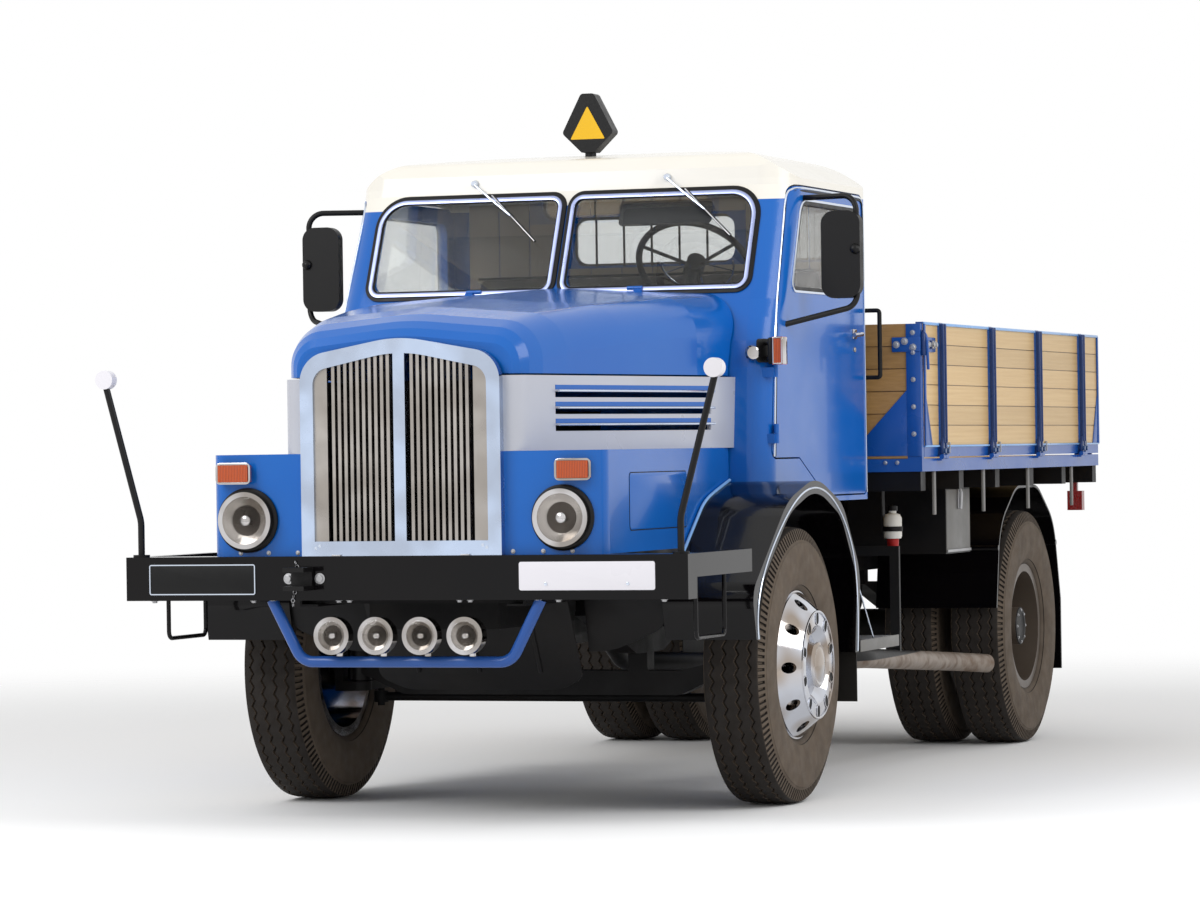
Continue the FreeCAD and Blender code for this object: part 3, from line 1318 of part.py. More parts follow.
def make_interior():
    dash = box("dash_block", ("-dash_half_width", "dash_front", "dash_bottom"),
               ("dash_half_width", "dash_front + dash_depth", "dash_top"))
    cabin = cab_form("cabin_space", "cab_wall")
    node("dashboard", common("dash_fitted", dash, cabin))
    base = box("seat_base", ("-seat_half_width", "seat_front", "seat_base_height"),
               ("seat_half_width", "seat_back_front", "seat_height"))
    back = box("seat_back", ("-seat_half_width", "seat_back_front", "seat_base_height"),
               ("seat_half_width", "cab_rear - cab_wall - panel_gap", "seat_back_top"))
    box_under = box("seat_box", ("-seat_half_width", "seat_front + 2 * seat_radius", "cab_bottom + cab_wall"),
                    ("seat_half_width", "seat_back_front", "seat_base_height"))
    node("cab_seats", fuse("seat_unit", base, back, box_under))
    tilt = FreeCAD.Rotation(FreeCAD.Vector(1, 0, 0), STEERING_TILT)
    rim = doc.addObject("Part::Torus", "steering_rim")
    bind(rim, Radius1="steering_radius", Radius2="steering_rim_radius")
    hub = cylinder("steering_hub", "Z", ("0", "0", "-steering_hub_radius"), "steering_hub_radius",
                   "2 * steering_hub_radius")
    column = cylinder("steering_column", "Z", ("0", "0", "-steering_column_length"), "steering_column_radius",
                      "steering_column_length")
    spokes = []
    for number in range(STEERING_SPOKES):
        spoke = cylinder(f"steering_spoke_{number}", "X", ("0", "0", "0"), "steering_spoke_radius", "steering_radius")
        turn = FreeCAD.Rotation(UP, 90 + number * 360 / STEERING_SPOKES)
        spoke.Placement = FreeCAD.Placement(FreeCAD.Vector(), turn.multiply(TURNS["X"]))
        spokes.append(spoke)
    wheel = fuse("steering_unit", rim, hub, column, *spokes)
    wheel.Placement = FreeCAD.Placement(FreeCAD.Vector(), tilt)
    bind(wheel, Placement__Base__x="steering_x", Placement__Base__y="steering_y", Placement__Base__z="steering_height")
    node("steering_wheel", common("steering_trimmed", cut("steering_at_dash", wheel, dash), cabin))


STEERING_TILT = -48
STEERING_SPOKES = 3


def make_power_unit():
    engine = box("engine", ("-engine_half_width", "-engine_front", "engine_bottom"),
                 ("engine_half_width", "-engine_rear", "engine_top"))
    gearbox = box("gearbox", ("-gearbox_half_width", "-engine_rear", "gearbox_bottom"),
                  ("gearbox_half_width", "gearbox_rear", "gearbox_top"))
    radiator = box("radiator", ("-radiator_half_width", "-radiator_front", "radiator_bottom"),
                   ("radiator_half_width", "-radiator_front + radiator_depth", "radiator_top"))
    shaft = cylinder("fan_shaft", "Y", ("0", "-radiator_front + radiator_depth", "radiator_bottom + engine_half_width"),
                     "prop_shaft_radius", "radiator_front - radiator_depth - engine_front")
    carriers = []
    for name, place in (("front", "-engine_front + engine_half_width"), ("rear", "gearbox_rear - engine_half_width")):
        carriers.append(box(f"engine_carrier_{name}",
                            ("-frame_half_width + rail_thickness", place, "engine_bottom + engine_half_width / 2"),
                            ("frame_half_width - rail_thickness", f"{place} + cross_member_depth",
                             "engine_bottom + engine_half_width / 2 + cross_member_depth")))
    node("power_unit", fuse("power_joined", engine, gearbox, radiator, shaft, *carriers))
    return engine


# Axles, springs and steering


def make_front_axle():
    top = "axle_height + beam_height / 4"
    beam = prism("axle_beam", "XZ", [
        ("-kingpin_x", "axle_height - beam_height / 4"), ("-beam_drop_x", "axle_height - beam_height / 4 - beam_drop",
                                                         "beam_width"),
        ("beam_drop_x", "axle_height - beam_height / 4 - beam_drop", "beam_width"),
        ("kingpin_x", "axle_height - beam_height / 4"), ("kingpin_x", top),
        ("beam_drop_x", f"{top} - beam_drop / 2", "beam_width"), ("-beam_drop_x", f"{top} - beam_drop / 2", "beam_width"),
        ("-kingpin_x", top)], "-beam_width / 2", "beam_width")
    eye = cylinder("kingpin_eye", "Z", ("kingpin_x", "0", "axle_height - kingpin_boss_height / 2"),
                   "kingpin_boss_radius", "kingpin_boss_height")
    bore = cylinder("kingpin_bore", "Z", ("kingpin_x", "0", "axle_height - kingpin_boss_height"),
                    "kingpin_radius + running_gap", "2 * kingpin_boss_height")
    pads = box("spring_pad", ("spring_x - spring_width / 2", "-beam_width / 2", "axle_height - beam_height / 2"),
               ("spring_x + spring_width / 2", "beam_width / 2", "axle_height + beam_height / 2"))
    node("front_axle", cut("front_axle_bored", fuse("front_axle_joined", beam, both_sides("axle_ends", eye, pads)),
                           bore, mirrored("kingpin_bore_right", bore)))


def spring_pack(name, middle_y, half_length, depth, seat_height):
    """A leaf spring: a curved main leaf with shorter leaves under it, on two hangers."""
    low = seat_height
    corners = [
        (f"{middle_y} - {half_length}", f"spring_eye_height - spring_end_thickness"),
        (f"{middle_y} - {half_length} / 4", low, f"{half_length} / 4"),
        (f"{middle_y} + {half_length} / 4", low, f"{half_length} / 4"),
        (f"{middle_y} + {half_length}", f"spring_eye_height - spring_end_thickness"),
        (f"{middle_y} + {half_length}", "spring_eye_height"),
        (f"{middle_y} + {half_length} / 4", f"{low} + {depth}", f"{half_length} / 4"),
        (f"{middle_y} - {half_length} / 4", f"{low} + {depth}", f"{half_length} / 4"),
        (f"{middle_y} - {half_length}", "spring_eye_height")]
    leaf = prism(name, "YZ", corners, "spring_x - spring_width / 2", "spring_width")
    hangers = []
    for number, place in enumerate((f"{middle_y} - {half_length}", f"{middle_y} + {half_length} - spring_hanger_width")):
        hangers.append(box(f"{name}_hanger_{number}", (f"frame_half_width - rail_flange", place,
                                                       "spring_eye_height - spring_end_thickness"),
                           ("frame_half_width", f"{place} + spring_hanger_width", "frame_bottom")))
    return fuse(f"{name}_unit", leaf, *hangers)


def make_leaf_springs():
    front = spring_pack("front_spring", "0", "front_spring_half_length", "front_spring_depth",
                        "axle_height + beam_height / 2")
    rear = spring_pack("rear_spring", "wheelbase", "rear_spring_half_length", "rear_spring_depth",
                       "axle_height + rear_housing_radius")
    node("leaf_springs", both_sides("spring_set", front, rear))


def make_rear_axle():
    half = "(rear_outer_x - twin_spacing + disc_thickness - panel_gap)"
    housing = cylinder("rear_tube", "X", (f"-{half}", REAR_AXLE, "axle_height"), "rear_housing_radius",
                       f"2 * {half}")
    ball = turned("rear_ball", "XZ", [
        ("-rear_ball_width / 2", "0"), ("-rear_ball_width / 2", "rear_ball_radius / 2"),
        ("-rear_ball_width / 4", "rear_ball_radius", "rear_ball_radius / 5"),
        ("rear_ball_width / 4", "rear_ball_radius", "rear_ball_radius / 5"),
        ("rear_ball_width / 2", "rear_ball_radius / 2"), ("rear_ball_width / 2", "0")], "H")
    bind(ball, Placement__Base__y=REAR_AXLE, Placement__Base__z="axle_height")
    spindle = cylinder("rear_spindle", "X", ("-rear_outer_x - rear_hub_out / 2", REAR_AXLE, "axle_height"),
                       "rear_spindle_radius", "2 * rear_outer_x + rear_hub_out")
    shaft = shaped("prop_shaft_run", Part.makeCylinder(
        value("prop_shaft_radius"), *shaft_line()))
    ahead = box("prop_shaft_trim", ("-gearbox_half_width", "0", "gearbox_bottom - cut_overrun"),
                ("gearbox_half_width", "gearbox_rear", "gearbox_top"))
    node("rear_axle", cut("rear_axle_trimmed", fuse("rear_axle_joined", housing, ball, spindle, shaft), ahead))


def shaft_line():
    """Length, foot and direction of the propeller shaft from the gearbox to the rear axle."""
    foot = FreeCAD.Vector(0, value("gearbox_rear - prop_shaft_radius"), value("gearbox_bottom + prop_shaft_radius"))
    head = FreeCAD.Vector(0, value(REAR_AXLE), value("axle_height"))
    return (head - foot).Length, foot, head - foot


def make_knuckle():
    boss = "kingpin_boss_height / 2 + knuckle_lug_gap"
    lugs = []
    for name, low in (("upper", f"axle_height + {boss}"),
                      ("lower", f"axle_height - ({boss}) - knuckle_lug_height")):
        lugs.append(cylinder(f"knuckle_{name}", "Z", ("kingpin_x", "0", low), "kingpin_boss_radius",
                             "knuckle_lug_height"))
        lugs.append(box(f"knuckle_{name}_arm", ("kingpin_x", "-kingpin_boss_radius", low),
                        ("kingpin_x + kingpin_boss_radius + knuckle_lug_gap + knuckle_web", "kingpin_boss_radius",
                         f"{low} + knuckle_lug_height")))
    web = box("knuckle_web", ("kingpin_x + kingpin_boss_radius + knuckle_lug_gap", "-kingpin_boss_radius",
                              f"axle_height - ({boss})"),
              ("kingpin_x + kingpin_boss_radius + knuckle_lug_gap + knuckle_web", "kingpin_boss_radius",
               f"axle_height + {boss}"))
    pin = cylinder("kingpin", "Z", ("kingpin_x", "0", f"axle_height - ({boss})"), "kingpin_radius", f"2 * ({boss})")
    spindle = cylinder("spindle", "X", ("kingpin_x + kingpin_boss_radius + knuckle_lug_gap", "0", "axle_height"),
                       "spindle_radius", "spindle_end_x - kingpin_x - kingpin_boss_radius - knuckle_lug_gap")
    low = f"axle_height - ({boss}) - knuckle_lug_height"
    arm = box("steering_arm", ("kingpin_x - ball_stud_radius * 2", "0", low),
              ("kingpin_x + ball_stud_radius * 2", "steering_arm_length + ball_stud_radius * 2",
               f"{low} + knuckle_lug_height"))
    stud = cylinder("ball_stud", "Z", ("kingpin_x", "steering_arm_length", f"{low} - tie_rod_drop"),
                    "ball_stud_radius", "tie_rod_drop")
    pair_of_nodes("knuckle", fuse("knuckle_unit", *lugs, web, pin, spindle, arm, stud))


def make_tie_rod():
    low = "axle_height - kingpin_boss_height / 2 - knuckle_lug_gap - knuckle_lug_height - tie_rod_drop / 2"
    end_x = "kingpin_x"
    rod = cylinder("tie_rod_bar", "X", (f"-({end_x})", "steering_arm_length", low), "tie_rod_radius", f"2 * ({end_x})")
    ends = []
    for sign in ("-", ""):
        ends.append(cylinder(f"tie_rod_end_{'right' if sign else 'left'}", "Z",
                             (f"{sign}({end_x})", "steering_arm_length", f"{low} - tie_rod_end_height / 2"),
                             "ball_stud_radius * 2", "tie_rod_end_height"))
    bores = []
    for sign in ("-", ""):
        bores.append(cylinder(f"tie_rod_bore_{'right' if sign else 'left'}", "Z",
                              (f"{sign}({end_x})", "steering_arm_length", f"{low} - tie_rod_drop"),
                              "ball_stud_radius + running_gap", "2 * tie_rod_drop"))
    node("tie_rod", cut("tie_rod_bored", fuse("tie_rod_joined", rod, *ends), *bores))


# Wheels


def tyre(name, middle_x, axle_y):
    half, tread = "tyre_width / 2", "tyre_tread_width / 2"
    ring = turned(name, "XZ", [
        ("-tyre_bead_half_width", "tyre_bead_radius"), ("-tyre_bead_half_width", "rim_flange_radius"), (f"-{half}", "tyre_side_radius", "tyre_width / 4"),
        (f"-{tread}", "tyre_radius - tyre_shoulder_drop / 4", "tyre_shoulder_drop"),
        ("0", "tyre_radius"),
        (tread, "tyre_radius - tyre_shoulder_drop / 4", "tyre_shoulder_drop"),
        (half, "tyre_side_radius", "tyre_width / 4"), ("tyre_bead_half_width", "rim_flange_radius"),
        ("tyre_bead_half_width", "tyre_bead_radius")], "H")
    bind(ring, Placement__Base__x=middle_x, Placement__Base__y=axle_y, Placement__Base__z="axle_height")
    return ring


def rim(name, middle_x, axle_y, disc_out, hub_length, hub_out, bore):
    """A pressed rim: flanged barrel, disc at disc_out from the middle plane, and a bored hub."""
    hub_length, hub_out, bore, disc_out = f"({hub_length})", f"({hub_out})", f"({bore})", f"({disc_out})"
    half, wall = "rim_half_width", "rim_wall"
    seat = "tyre_bead_radius"
    barrel = turned(f"{name}_barrel", "XZ", [
        (f"-{half}", "rim_flange_radius"), (f"-{half} + {wall} / 2", "rim_flange_radius"),
        (f"-tyre_bead_half_width", seat), (f"tyre_bead_half_width", seat),
        (f"{half} - {wall} / 2", "rim_flange_radius"), (half, "rim_flange_radius"),
        (half, f"{seat} - {wall}"), (f"-{half}", f"{seat} - {wall}")], "H")
    disc = turned(f"{name}_disc", "XZ", [
        (disc_out, bore), (disc_out, f"{seat} - {wall}"), (f"{disc_out} + disc_thickness", f"{seat} - {wall}"),
        (f"{disc_out} + disc_thickness", bore)], "H")
    hub = turned(f"{name}_hub", "XZ", [
        (f"{hub_out} - {hub_length}", bore), (f"{hub_out} - {hub_length}", "hub_radius"),
        (hub_out, "hub_radius"), (hub_out, bore)], "H")
    for piece in (barrel, disc, hub):
        bind(piece, Placement__Base__x=middle_x, Placement__Base__y=axle_y, Placement__Base__z="axle_height")
    return fuse(f"{name}_rim", barrel, disc, hub)


def hole_ring(name, middle_x, axle_y, ring_radius, hole_radius, count, low, length):
    holes = []
    for number in range(count):
        angle = f"{number} * 360 / {count}"
        holes.append(cylinder(f"{name}_{number}", "X", (
            f"{middle_x} + {low}", f"{axle_y} + {ring_radius} * cos({angle})",
            f"axle_height + {ring_radius} * sin({angle})"), hole_radius, length))
    return holes


def wheel_cover():
    """The front wheel's pressed cover: base ring, pierced cone, face ring, recess and hub cap."""
    skin = "cover_thickness"
    profile = [
        ("rim_half_width", f"cover_ring_radius - {skin}"), ("rim_half_width", "cover_ring_radius"),
        (f"rim_half_width + {skin}", "cover_ring_radius"),
        ("cover_face_out", "cover_face_radius"), ("cover_face_out", "cover_recess_outer_radius"),
        ("cover_recess_out", "cover_recess_radius"), ("cover_recess_out", "cover_cap_radius"),
        ("cover_cap_out", f"cover_cap_radius - {skin}"), ("cover_cap_out", "0"),
        (f"cover_cap_out - {skin}", "0"), (f"cover_cap_out - {skin}", f"cover_cap_radius - 2 * {skin}"),
        (f"cover_recess_out - {skin}", f"cover_cap_radius - {skin}"),
        (f"cover_recess_out - {skin}", f"cover_recess_radius + {skin} / 2"),
        (f"cover_face_out - {skin}", f"cover_recess_outer_radius + {skin} / 2"),
        (f"cover_face_out - {skin}", f"cover_face_radius - {skin} / 2")]
    cover = turned("cover_skin", "XZ", profile, "H")
    bind(cover, Placement__Base__x="front_wheel_x", Placement__Base__z="axle_height")
    holes = hole_ring("cover_hole", "front_wheel_x", "0", "cover_hole_ring", "cover_hole_radius",
                      SIZES["cover_hole_count"], "rim_half_width - cut_overrun", "cover_face_out")
    return cut("cover_pierced", cover, *holes)


def make_front_wheels():
    pair_of_nodes("front_tyre", tyre("front_tyre_ring", "front_wheel_x", "0"))
    inner = rim("front", "front_wheel_x", "0", "tyre_bead_half_width - 3 * disc_thickness",
                "spindle_end_x - kingpin_x - kingpin_boss_radius - 3 * knuckle_lug_gap - knuckle_web",
                "spindle_end_x - front_wheel_x", "spindle_radius + running_gap")
    pair_of_nodes("front_rim", fuse("front_rim_unit", inner, wheel_cover()))


def make_rear_wheels():
    inner_x = "rear_outer_x - twin_spacing"
    tyres = fuse("rear_tyre_pair", tyre("rear_outer_ring", "rear_outer_x", REAR_AXLE),
                 tyre("rear_inner_ring", inner_x, REAR_AXLE))
    pair_of_nodes("rear_tyres", tyres)
    outer = rim("rear_outer", "rear_outer_x", REAR_AXLE, "-rear_disc_depth", "twin_spacing",
                "rear_hub_out", "rear_spindle_radius + running_gap")
    inner = rim("rear_inner", inner_x, REAR_AXLE, "rear_disc_depth", "rear_disc_depth",
                "rear_disc_depth + disc_thickness", "rear_spindle_radius + running_gap")
    holes = hole_ring("hand_hole", "rear_outer_x", REAR_AXLE, "hand_hole_ring", "hand_hole_radius",
                      SIZES["hand_hole_count"], "-rear_disc_depth - cut_overrun", "disc_thickness + 2 * cut_overrun")
    cap = cylinder("rear_hub_cap", "X", ("rear_outer_x + rear_hub_out", REAR_AXLE, "axle_height"), "hub_radius",
                   "disc_thickness")
    pair_of_nodes("rear_rims", cut("rear_rim_unit", fuse("rear_rim_joined", outer, inner, cap), *holes))


# Bed


def make_bed():
    runner = box("bed_runner", ("frame_half_width - rail_flange", "bed_front", "frame_bottom + rail_height"),
                 ("frame_half_width", f"{BED_REAR} - bed_rail_thickness",
                  "frame_bottom + rail_height + runner_height + runner_notch"))
    bearers = []
    span = f"{BED_REAR} - bed_front - 2 * bed_rail_thickness - bearer_width"
    for number in range(SIZES["bearer_count"]):
        place = f"bed_front + bed_rail_thickness + ({span}) * {number} / (bearer_count - 1)"
        bearers.append(box(f"bearer_{number}",
                           ("-bed_half_width + bed_rail_thickness", place, "bed_floor_bottom - bearer_height"),
                           ("bed_half_width - bed_rail_thickness", f"{place} + bearer_width", "bed_floor_bottom")))
    node("bed_subframe", fuse("subframe", both_sides("runner_pair", runner), *bearers))
    boards = box("bed_boards", ("-bed_half_width + bed_rail_thickness", "bed_front + bed_rail_thickness",
                                "bed_floor_bottom"),
                 ("bed_half_width - bed_rail_thickness", f"{BED_REAR} - bed_rail_thickness",
                  "bed_floor_bottom + bed_floor_thickness - bed_field_rise"))
    inset = "board_thickness + bed_field_margin"
    field = box("bed_field", (f"-bed_half_width + {inset}", f"bed_front + {inset}", "bed_floor_bottom"),
                (f"bed_half_width - ({inset})", f"{BED_REAR} - ({inset})",
                 "bed_floor_bottom + bed_floor_thickness"))
    node("bed_floor", fuse("bed_floor_joined", boards, field))
    rail_low = "bed_floor_bottom + bed_floor_thickness - bed_rail_height"
    rail_top = "bed_floor_bottom + bed_floor_thickness"
    outer = box("bed_rail_outer", ("-bed_half_width", "bed_front", rail_low), ("bed_half_width", BED_REAR, rail_top))
    inner = box("bed_rail_inner", ("-bed_half_width + bed_rail_thickness", "bed_front + bed_rail_thickness",
                                   f"{rail_low} - cut_overrun"),
                ("bed_half_width - bed_rail_thickness", f"{BED_REAR} - bed_rail_thickness", f"{rail_top} + cut_overrun"))
    post = box("head_post", ("bed_half_width - post_width", "bed_front", rail_top),
               ("bed_half_width", "bed_front + board_thickness", "bed_top"))
    rails = fuse("bed_rails_joined", cut("bed_rail_ring", outer, inner), both_sides("head_posts", post))
    rail_set = cut("bed_rails_clear", rails, box("bed_rail_bearers", (
        "-bed_half_width + bed_rail_thickness", "bed_front + bed_rail_thickness", "0"),
        ("bed_half_width - bed_rail_thickness", f"{BED_REAR} - bed_rail_thickness", rail_top)))
    inner = "bed_half_width - post_width"
    node("bed_headboard", board_wall("headboard", (f"-({inner})", "bed_front", rail_top),
                                     (inner, "bed_front + board_thickness", "bed_top"), 1))
    return rail_set


def board_wall(name, low, high, thin):
    """Boards laid edge to edge as one slab, with a groove in both faces between each two."""
    slab = box(f"{name}_slab", low, high)
    wide = 1 - thin
    grooves = []
    for number in range(1, SIZES["board_count"]):
        middle = f"({low[2]}) + (({high[2]}) - ({low[2]})) * {number} / board_count"
        for side, face in (("low", low[thin]), ("high", high[thin])):
            foot, head = list(low), list(high)
            foot[thin], head[thin] = f"({face}) - board_groove", f"({face}) + board_groove"
            foot[wide], head[wide] = f"({low[wide]}) - cut_overrun", f"({high[wide]}) + cut_overrun"
            foot[2], head[2] = f"{middle} - board_groove / 2", f"{middle} + board_groove / 2"
            grooves.append(box(f"{name}_groove_{side}_{number}", foot, head))
    return cut(f"{name}_boards", slab, *grooves)


SIDE_IRON_SHARES = (0.075, 0.344, 0.616, 0.886)
TAIL_IRON_SHARES = (0.0, 0.5, 1.0)


def drop_hinge(name, axis, place, wall):
    """A drop wall's hinge: the iron's knuckle, its bore, and the fixed bracket with the pin."""
    def spot(along, across, up):
        return (across, along, up) if axis == "Y" else (along, across, up)
    out = f"{wall} + side_hinge_out"
    start, stop = f"{place} - hinge_end_gap - hinge_bracket_width", f"{place} - hinge_end_gap"
    knuckle = [cylinder(f"{name}_knuckle", axis, spot(place, out, DROP_HINGE), "hinge_radius", "iron_width"),
               box(f"{name}_lug", spot(place, wall, DROP_HINGE),
                   spot(f"{place} + iron_width", out, f"{DROP_HINGE} + hinge_radius"))]
    bore = cylinder(f"{name}_bore", axis, spot(stop, out, DROP_HINGE), "hinge_pin_radius + running_gap",
                    "iron_width + 2 * hinge_end_gap")
    bracket = [cylinder(f"{name}_barrel", axis, spot(start, out, DROP_HINGE), "hinge_radius", "hinge_bracket_width"),
               cylinder(f"{name}_pin", axis, spot(start, out, DROP_HINGE), "hinge_pin_radius",
                        "hinge_bracket_width + hinge_end_gap + iron_width"),
               box(f"{name}_bracket", spot(start, wall, f"{DROP_HINGE} - panel_gap - hinge_radius"),
                   spot(stop, out, f"{DROP_HINGE} - panel_gap"))]
    return knuckle, bore, bracket


def make_drop_walls(rail_set):
    low, start = DROP_HINGE, "(bed_front + board_thickness + panel_gap)"
    inner_x, outer_x = "bed_half_width - board_thickness", "bed_half_width"
    rail_top, cap_top = f"{low} + side_rail_height", "bed_top + iron_thickness"
    irons = [box("side_rail", (inner_x, start, low), (outer_x, BED_REAR, rail_top)),
             box("side_cap", (inner_x, start, "bed_top"), (outer_x, BED_REAR, cap_top))]
    bores, brackets = [], []
    for number, share in enumerate(SIDE_IRON_SHARES):
        place = f"{start} + {share} * ({BED_REAR} - {start} - iron_width)"
        irons.append(box(f"side_strap_{number}", (outer_x, place, low),
                         (f"{outer_x} + iron_thickness", f"{place} + iron_width", cap_top)))
        knuckle, bore, bracket = drop_hinge(f"side_hinge_{number}", "Y", place, outer_x)
        irons += knuckle
        bores.append(bore)
        brackets += bracket
    pair_of_nodes("side_boards", board_wall("side", (inner_x, start, rail_top), (outer_x, BED_REAR, "bed_top"), 0))
    pair_of_nodes("side_irons", cut("side_iron_set", fuse("side_iron_joined", *irons), *bores))
    half = "(bed_half_width - board_thickness - panel_gap)"
    back_y, front_y = BED_REAR, f"{BED_REAR} - board_thickness"
    node("tail_boards", board_wall("tail", (f"-{half}", front_y, rail_top), (half, back_y, "bed_top"), 1))
    tail_irons = [box("tail_rail", (f"-{half}", front_y, low), (half, back_y, rail_top)),
                  box("tail_cap", (f"-{half}", front_y, "bed_top"), (half, back_y, cap_top))]
    tail_bores, tail_brackets = [], []
    for number, share in enumerate(TAIL_IRON_SHARES):
        place = f"-{half} + {share} * (2 * {half} - iron_width)"
        tail_irons.append(box(f"tail_strap_{number}", (place, back_y, low),
                              (f"{place} + iron_width", f"{back_y} + iron_thickness", cap_top)))
        knuckle, bore, bracket = drop_hinge(f"tail_hinge_{number}", "X", place, back_y)
        tail_irons += knuckle
        tail_bores.append(bore)
        tail_brackets += bracket
    node("tail_irons", cut("tail_iron_set", fuse("tail_iron_joined", *tail_irons), *tail_bores))
    node("bed_rails", fuse("bed_rails_hinged", rail_set, both_sides("side_brackets", *brackets), *tail_brackets))


# Side equipment


def make_side_equipment():
    step = box("side_step", ("step_inner_x", "step_front_y", "step_height"),
               ("step_outer_x", "step_rear_y", "step_height + step_thickness"))
    arm = box("step_arm", ("frame_half_width", "step_rear_y - 2 * step_arm_width", "step_height + step_thickness"),
              ("step_inner_x + step_arm_width", "step_rear_y - step_arm_width",
               "step_height + step_thickness + step_arm_width"))
    drop = box("step_drop", ("frame_half_width", "step_rear_y - 2 * step_arm_width",
                             "step_height + step_thickness"),
               ("frame_half_width + step_arm_width", "step_rear_y - step_arm_width", "frame_bottom + rail_height"))
    steps = both_sides("step_pair", step, arm, drop)
    toolbox = box("toolbox", ("toolbox_inner_x", "toolbox_front", "toolbox_bottom"),
                  ("toolbox_outer_x", "toolbox_front + toolbox_length", "toolbox_top"))
    toolbox_arm = box("toolbox_arm", ("frame_half_width", "toolbox_front + step_arm_width", "frame_bottom + rail_height / 2"),
                      ("toolbox_inner_x", "toolbox_front + toolbox_length - step_arm_width", "frame_bottom + rail_height"))
    tank = prism("fuel_tank", "YZ", [
        ("tank_front", "tank_bottom", "tank_corner_radius"), ("tank_front", "tank_top", "tank_corner_radius"),
        ("tank_front + tank_length", "tank_top", "tank_corner_radius"),
        ("tank_front + tank_length", "tank_bottom", "tank_corner_radius")],
        "-tank_outer_x", "tank_outer_x - tank_inner_x")
    tank_arm = box("tank_arm", ("-tank_inner_x", "tank_front + tank_length / 4", "frame_bottom + rail_thickness"),
                   ("-frame_half_width", "tank_front + 3 * tank_length / 4", "frame_bottom + rail_height / 2"))
    node("side_equipment", fuse("equipment_set", steps, toolbox, toolbox_arm, tank, tank_arm))


def make_exhaust(engine):
    """The pipe leaves the engine's side, passes under the frame rail and ends ahead of the rear tyre."""
    run = bent_tube("exhaust_run", [
        ("exhaust_engine_x", "-exhaust_drop_y", "engine_bottom + exhaust_radius"),
        ("exhaust_engine_x", "exhaust_drop_y", "exhaust_height + exhaust_radius * 2"),
        ("exhaust_cross_x", "exhaust_front_y", "exhaust_height + exhaust_radius"),
        ("exhaust_x", "exhaust_side_y", "exhaust_height + exhaust_radius"),
        ("exhaust_x", "exhaust_outlet_y", "exhaust_height - exhaust_radius"),
        ("exhaust_outlet_x", "exhaust_rear_y", "exhaust_outlet_height")],
        "exhaust_bend_radius", "exhaust_radius")
    pipe = cut("exhaust_seated", run, engine)
    hanger = box("exhaust_hanger", ("exhaust_x - exhaust_radius / 2", "exhaust_front_y * 2", "exhaust_height"),
                 ("exhaust_x + exhaust_radius / 2", "exhaust_front_y * 2 + exhaust_radius / 2",
                  "frame_bottom + rail_height / 2"))
    arm = box("exhaust_arm", ("frame_half_width", "exhaust_front_y * 2", "frame_bottom + rail_height / 2"),
              ("exhaust_x + exhaust_radius / 2", "exhaust_front_y * 2 + exhaust_radius / 2",
               "frame_bottom + rail_height / 2 + exhaust_radius"))
    node("exhaust_pipe", fuse("exhaust_unit", pipe, hanger, arm))


def make_flaps_and_lamps():
    flap_y = "fender_end + flap_thickness / 2"
    flap = box("front_flap", ("front_flap_inner_x", flap_y, "front_flap_bottom"),
               ("fender_outer_x - fender_thickness", f"{flap_y} + flap_thickness", "fender_end_height + fender_lip"))
    node("mud_flaps", both_sides("flap_set", flap))
    low = ("tail_lamp_x - tail_lamp_width / 2", TAIL_LAMP_FRONT, "tail_lamp_height - tail_lamp_half_height")
    high = ("tail_lamp_x + tail_lamp_width / 2", f"{TAIL_LAMP_FRONT} + tail_lamp_depth",
            "tail_lamp_height + tail_lamp_half_height")
    stalk = box("tail_lamp_stalk", ("tail_lamp_x - tail_lamp_depth / 4", TAIL_LAMP_FRONT,
                                    "tail_lamp_height + tail_lamp_half_height"),
                ("tail_lamp_x + tail_lamp_depth / 4", f"{TAIL_LAMP_FRONT} + tail_lamp_depth / 2",
                 "bed_floor_bottom - bearer_height"))
    node("tail_lamps", both_sides("tail_lamp_set", box("tail_lamp", low, high), stalk))


# The truck


make_chassis_frame()
make_front_bumper()
make_marker_rods()
make_tow_couplings()
make_lamps()
make_signal_lenses()
cab_solid = cab_form("cab_outer", "0 * cab_wall")
make_nose_panels(cab_solid)
make_side_panels(cab_solid)
make_hood()
make_grille()
make_front_fenders()
make_rear_fenders()
make_cab(cab_solid)
make_mirrors()
make_cab_fittings(cab_solid)
make_roof_sign(cab_solid)
make_interior()
engine_block = make_power_unit()
make_front_axle()
make_leaf_springs()
make_rear_axle()
make_knuckle()
make_tie_rod()
make_front_wheels()
make_rear_wheels()
bed_rail_set = make_bed()
make_drop_walls(bed_rail_set)
make_side_equipment()
make_exhaust(engine_block)
make_flaps_and_lamps()
doc.recompute()

faults = [thing.Name for thing in doc.Objects if {"Invalid", "Error"} & set(thing.State)]
for label, placed in nodes.items():
    if placed.Shape.isNull() or not placed.Shape.isValid():
        faults.append(label)
if faults:
    raise RuntimeError(f"these did not build: {faults}")
os.makedirs("parts", exist_ok=True)
for label, placed in nodes.items():
    placed.Shape.exportStep(f"parts/{label}.step")
print(len(nodes), "sub-parts written")
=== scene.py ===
import json
import math
from contextlib import contextmanager

import bmesh
import bpy
from mathutils import Matrix, Vector

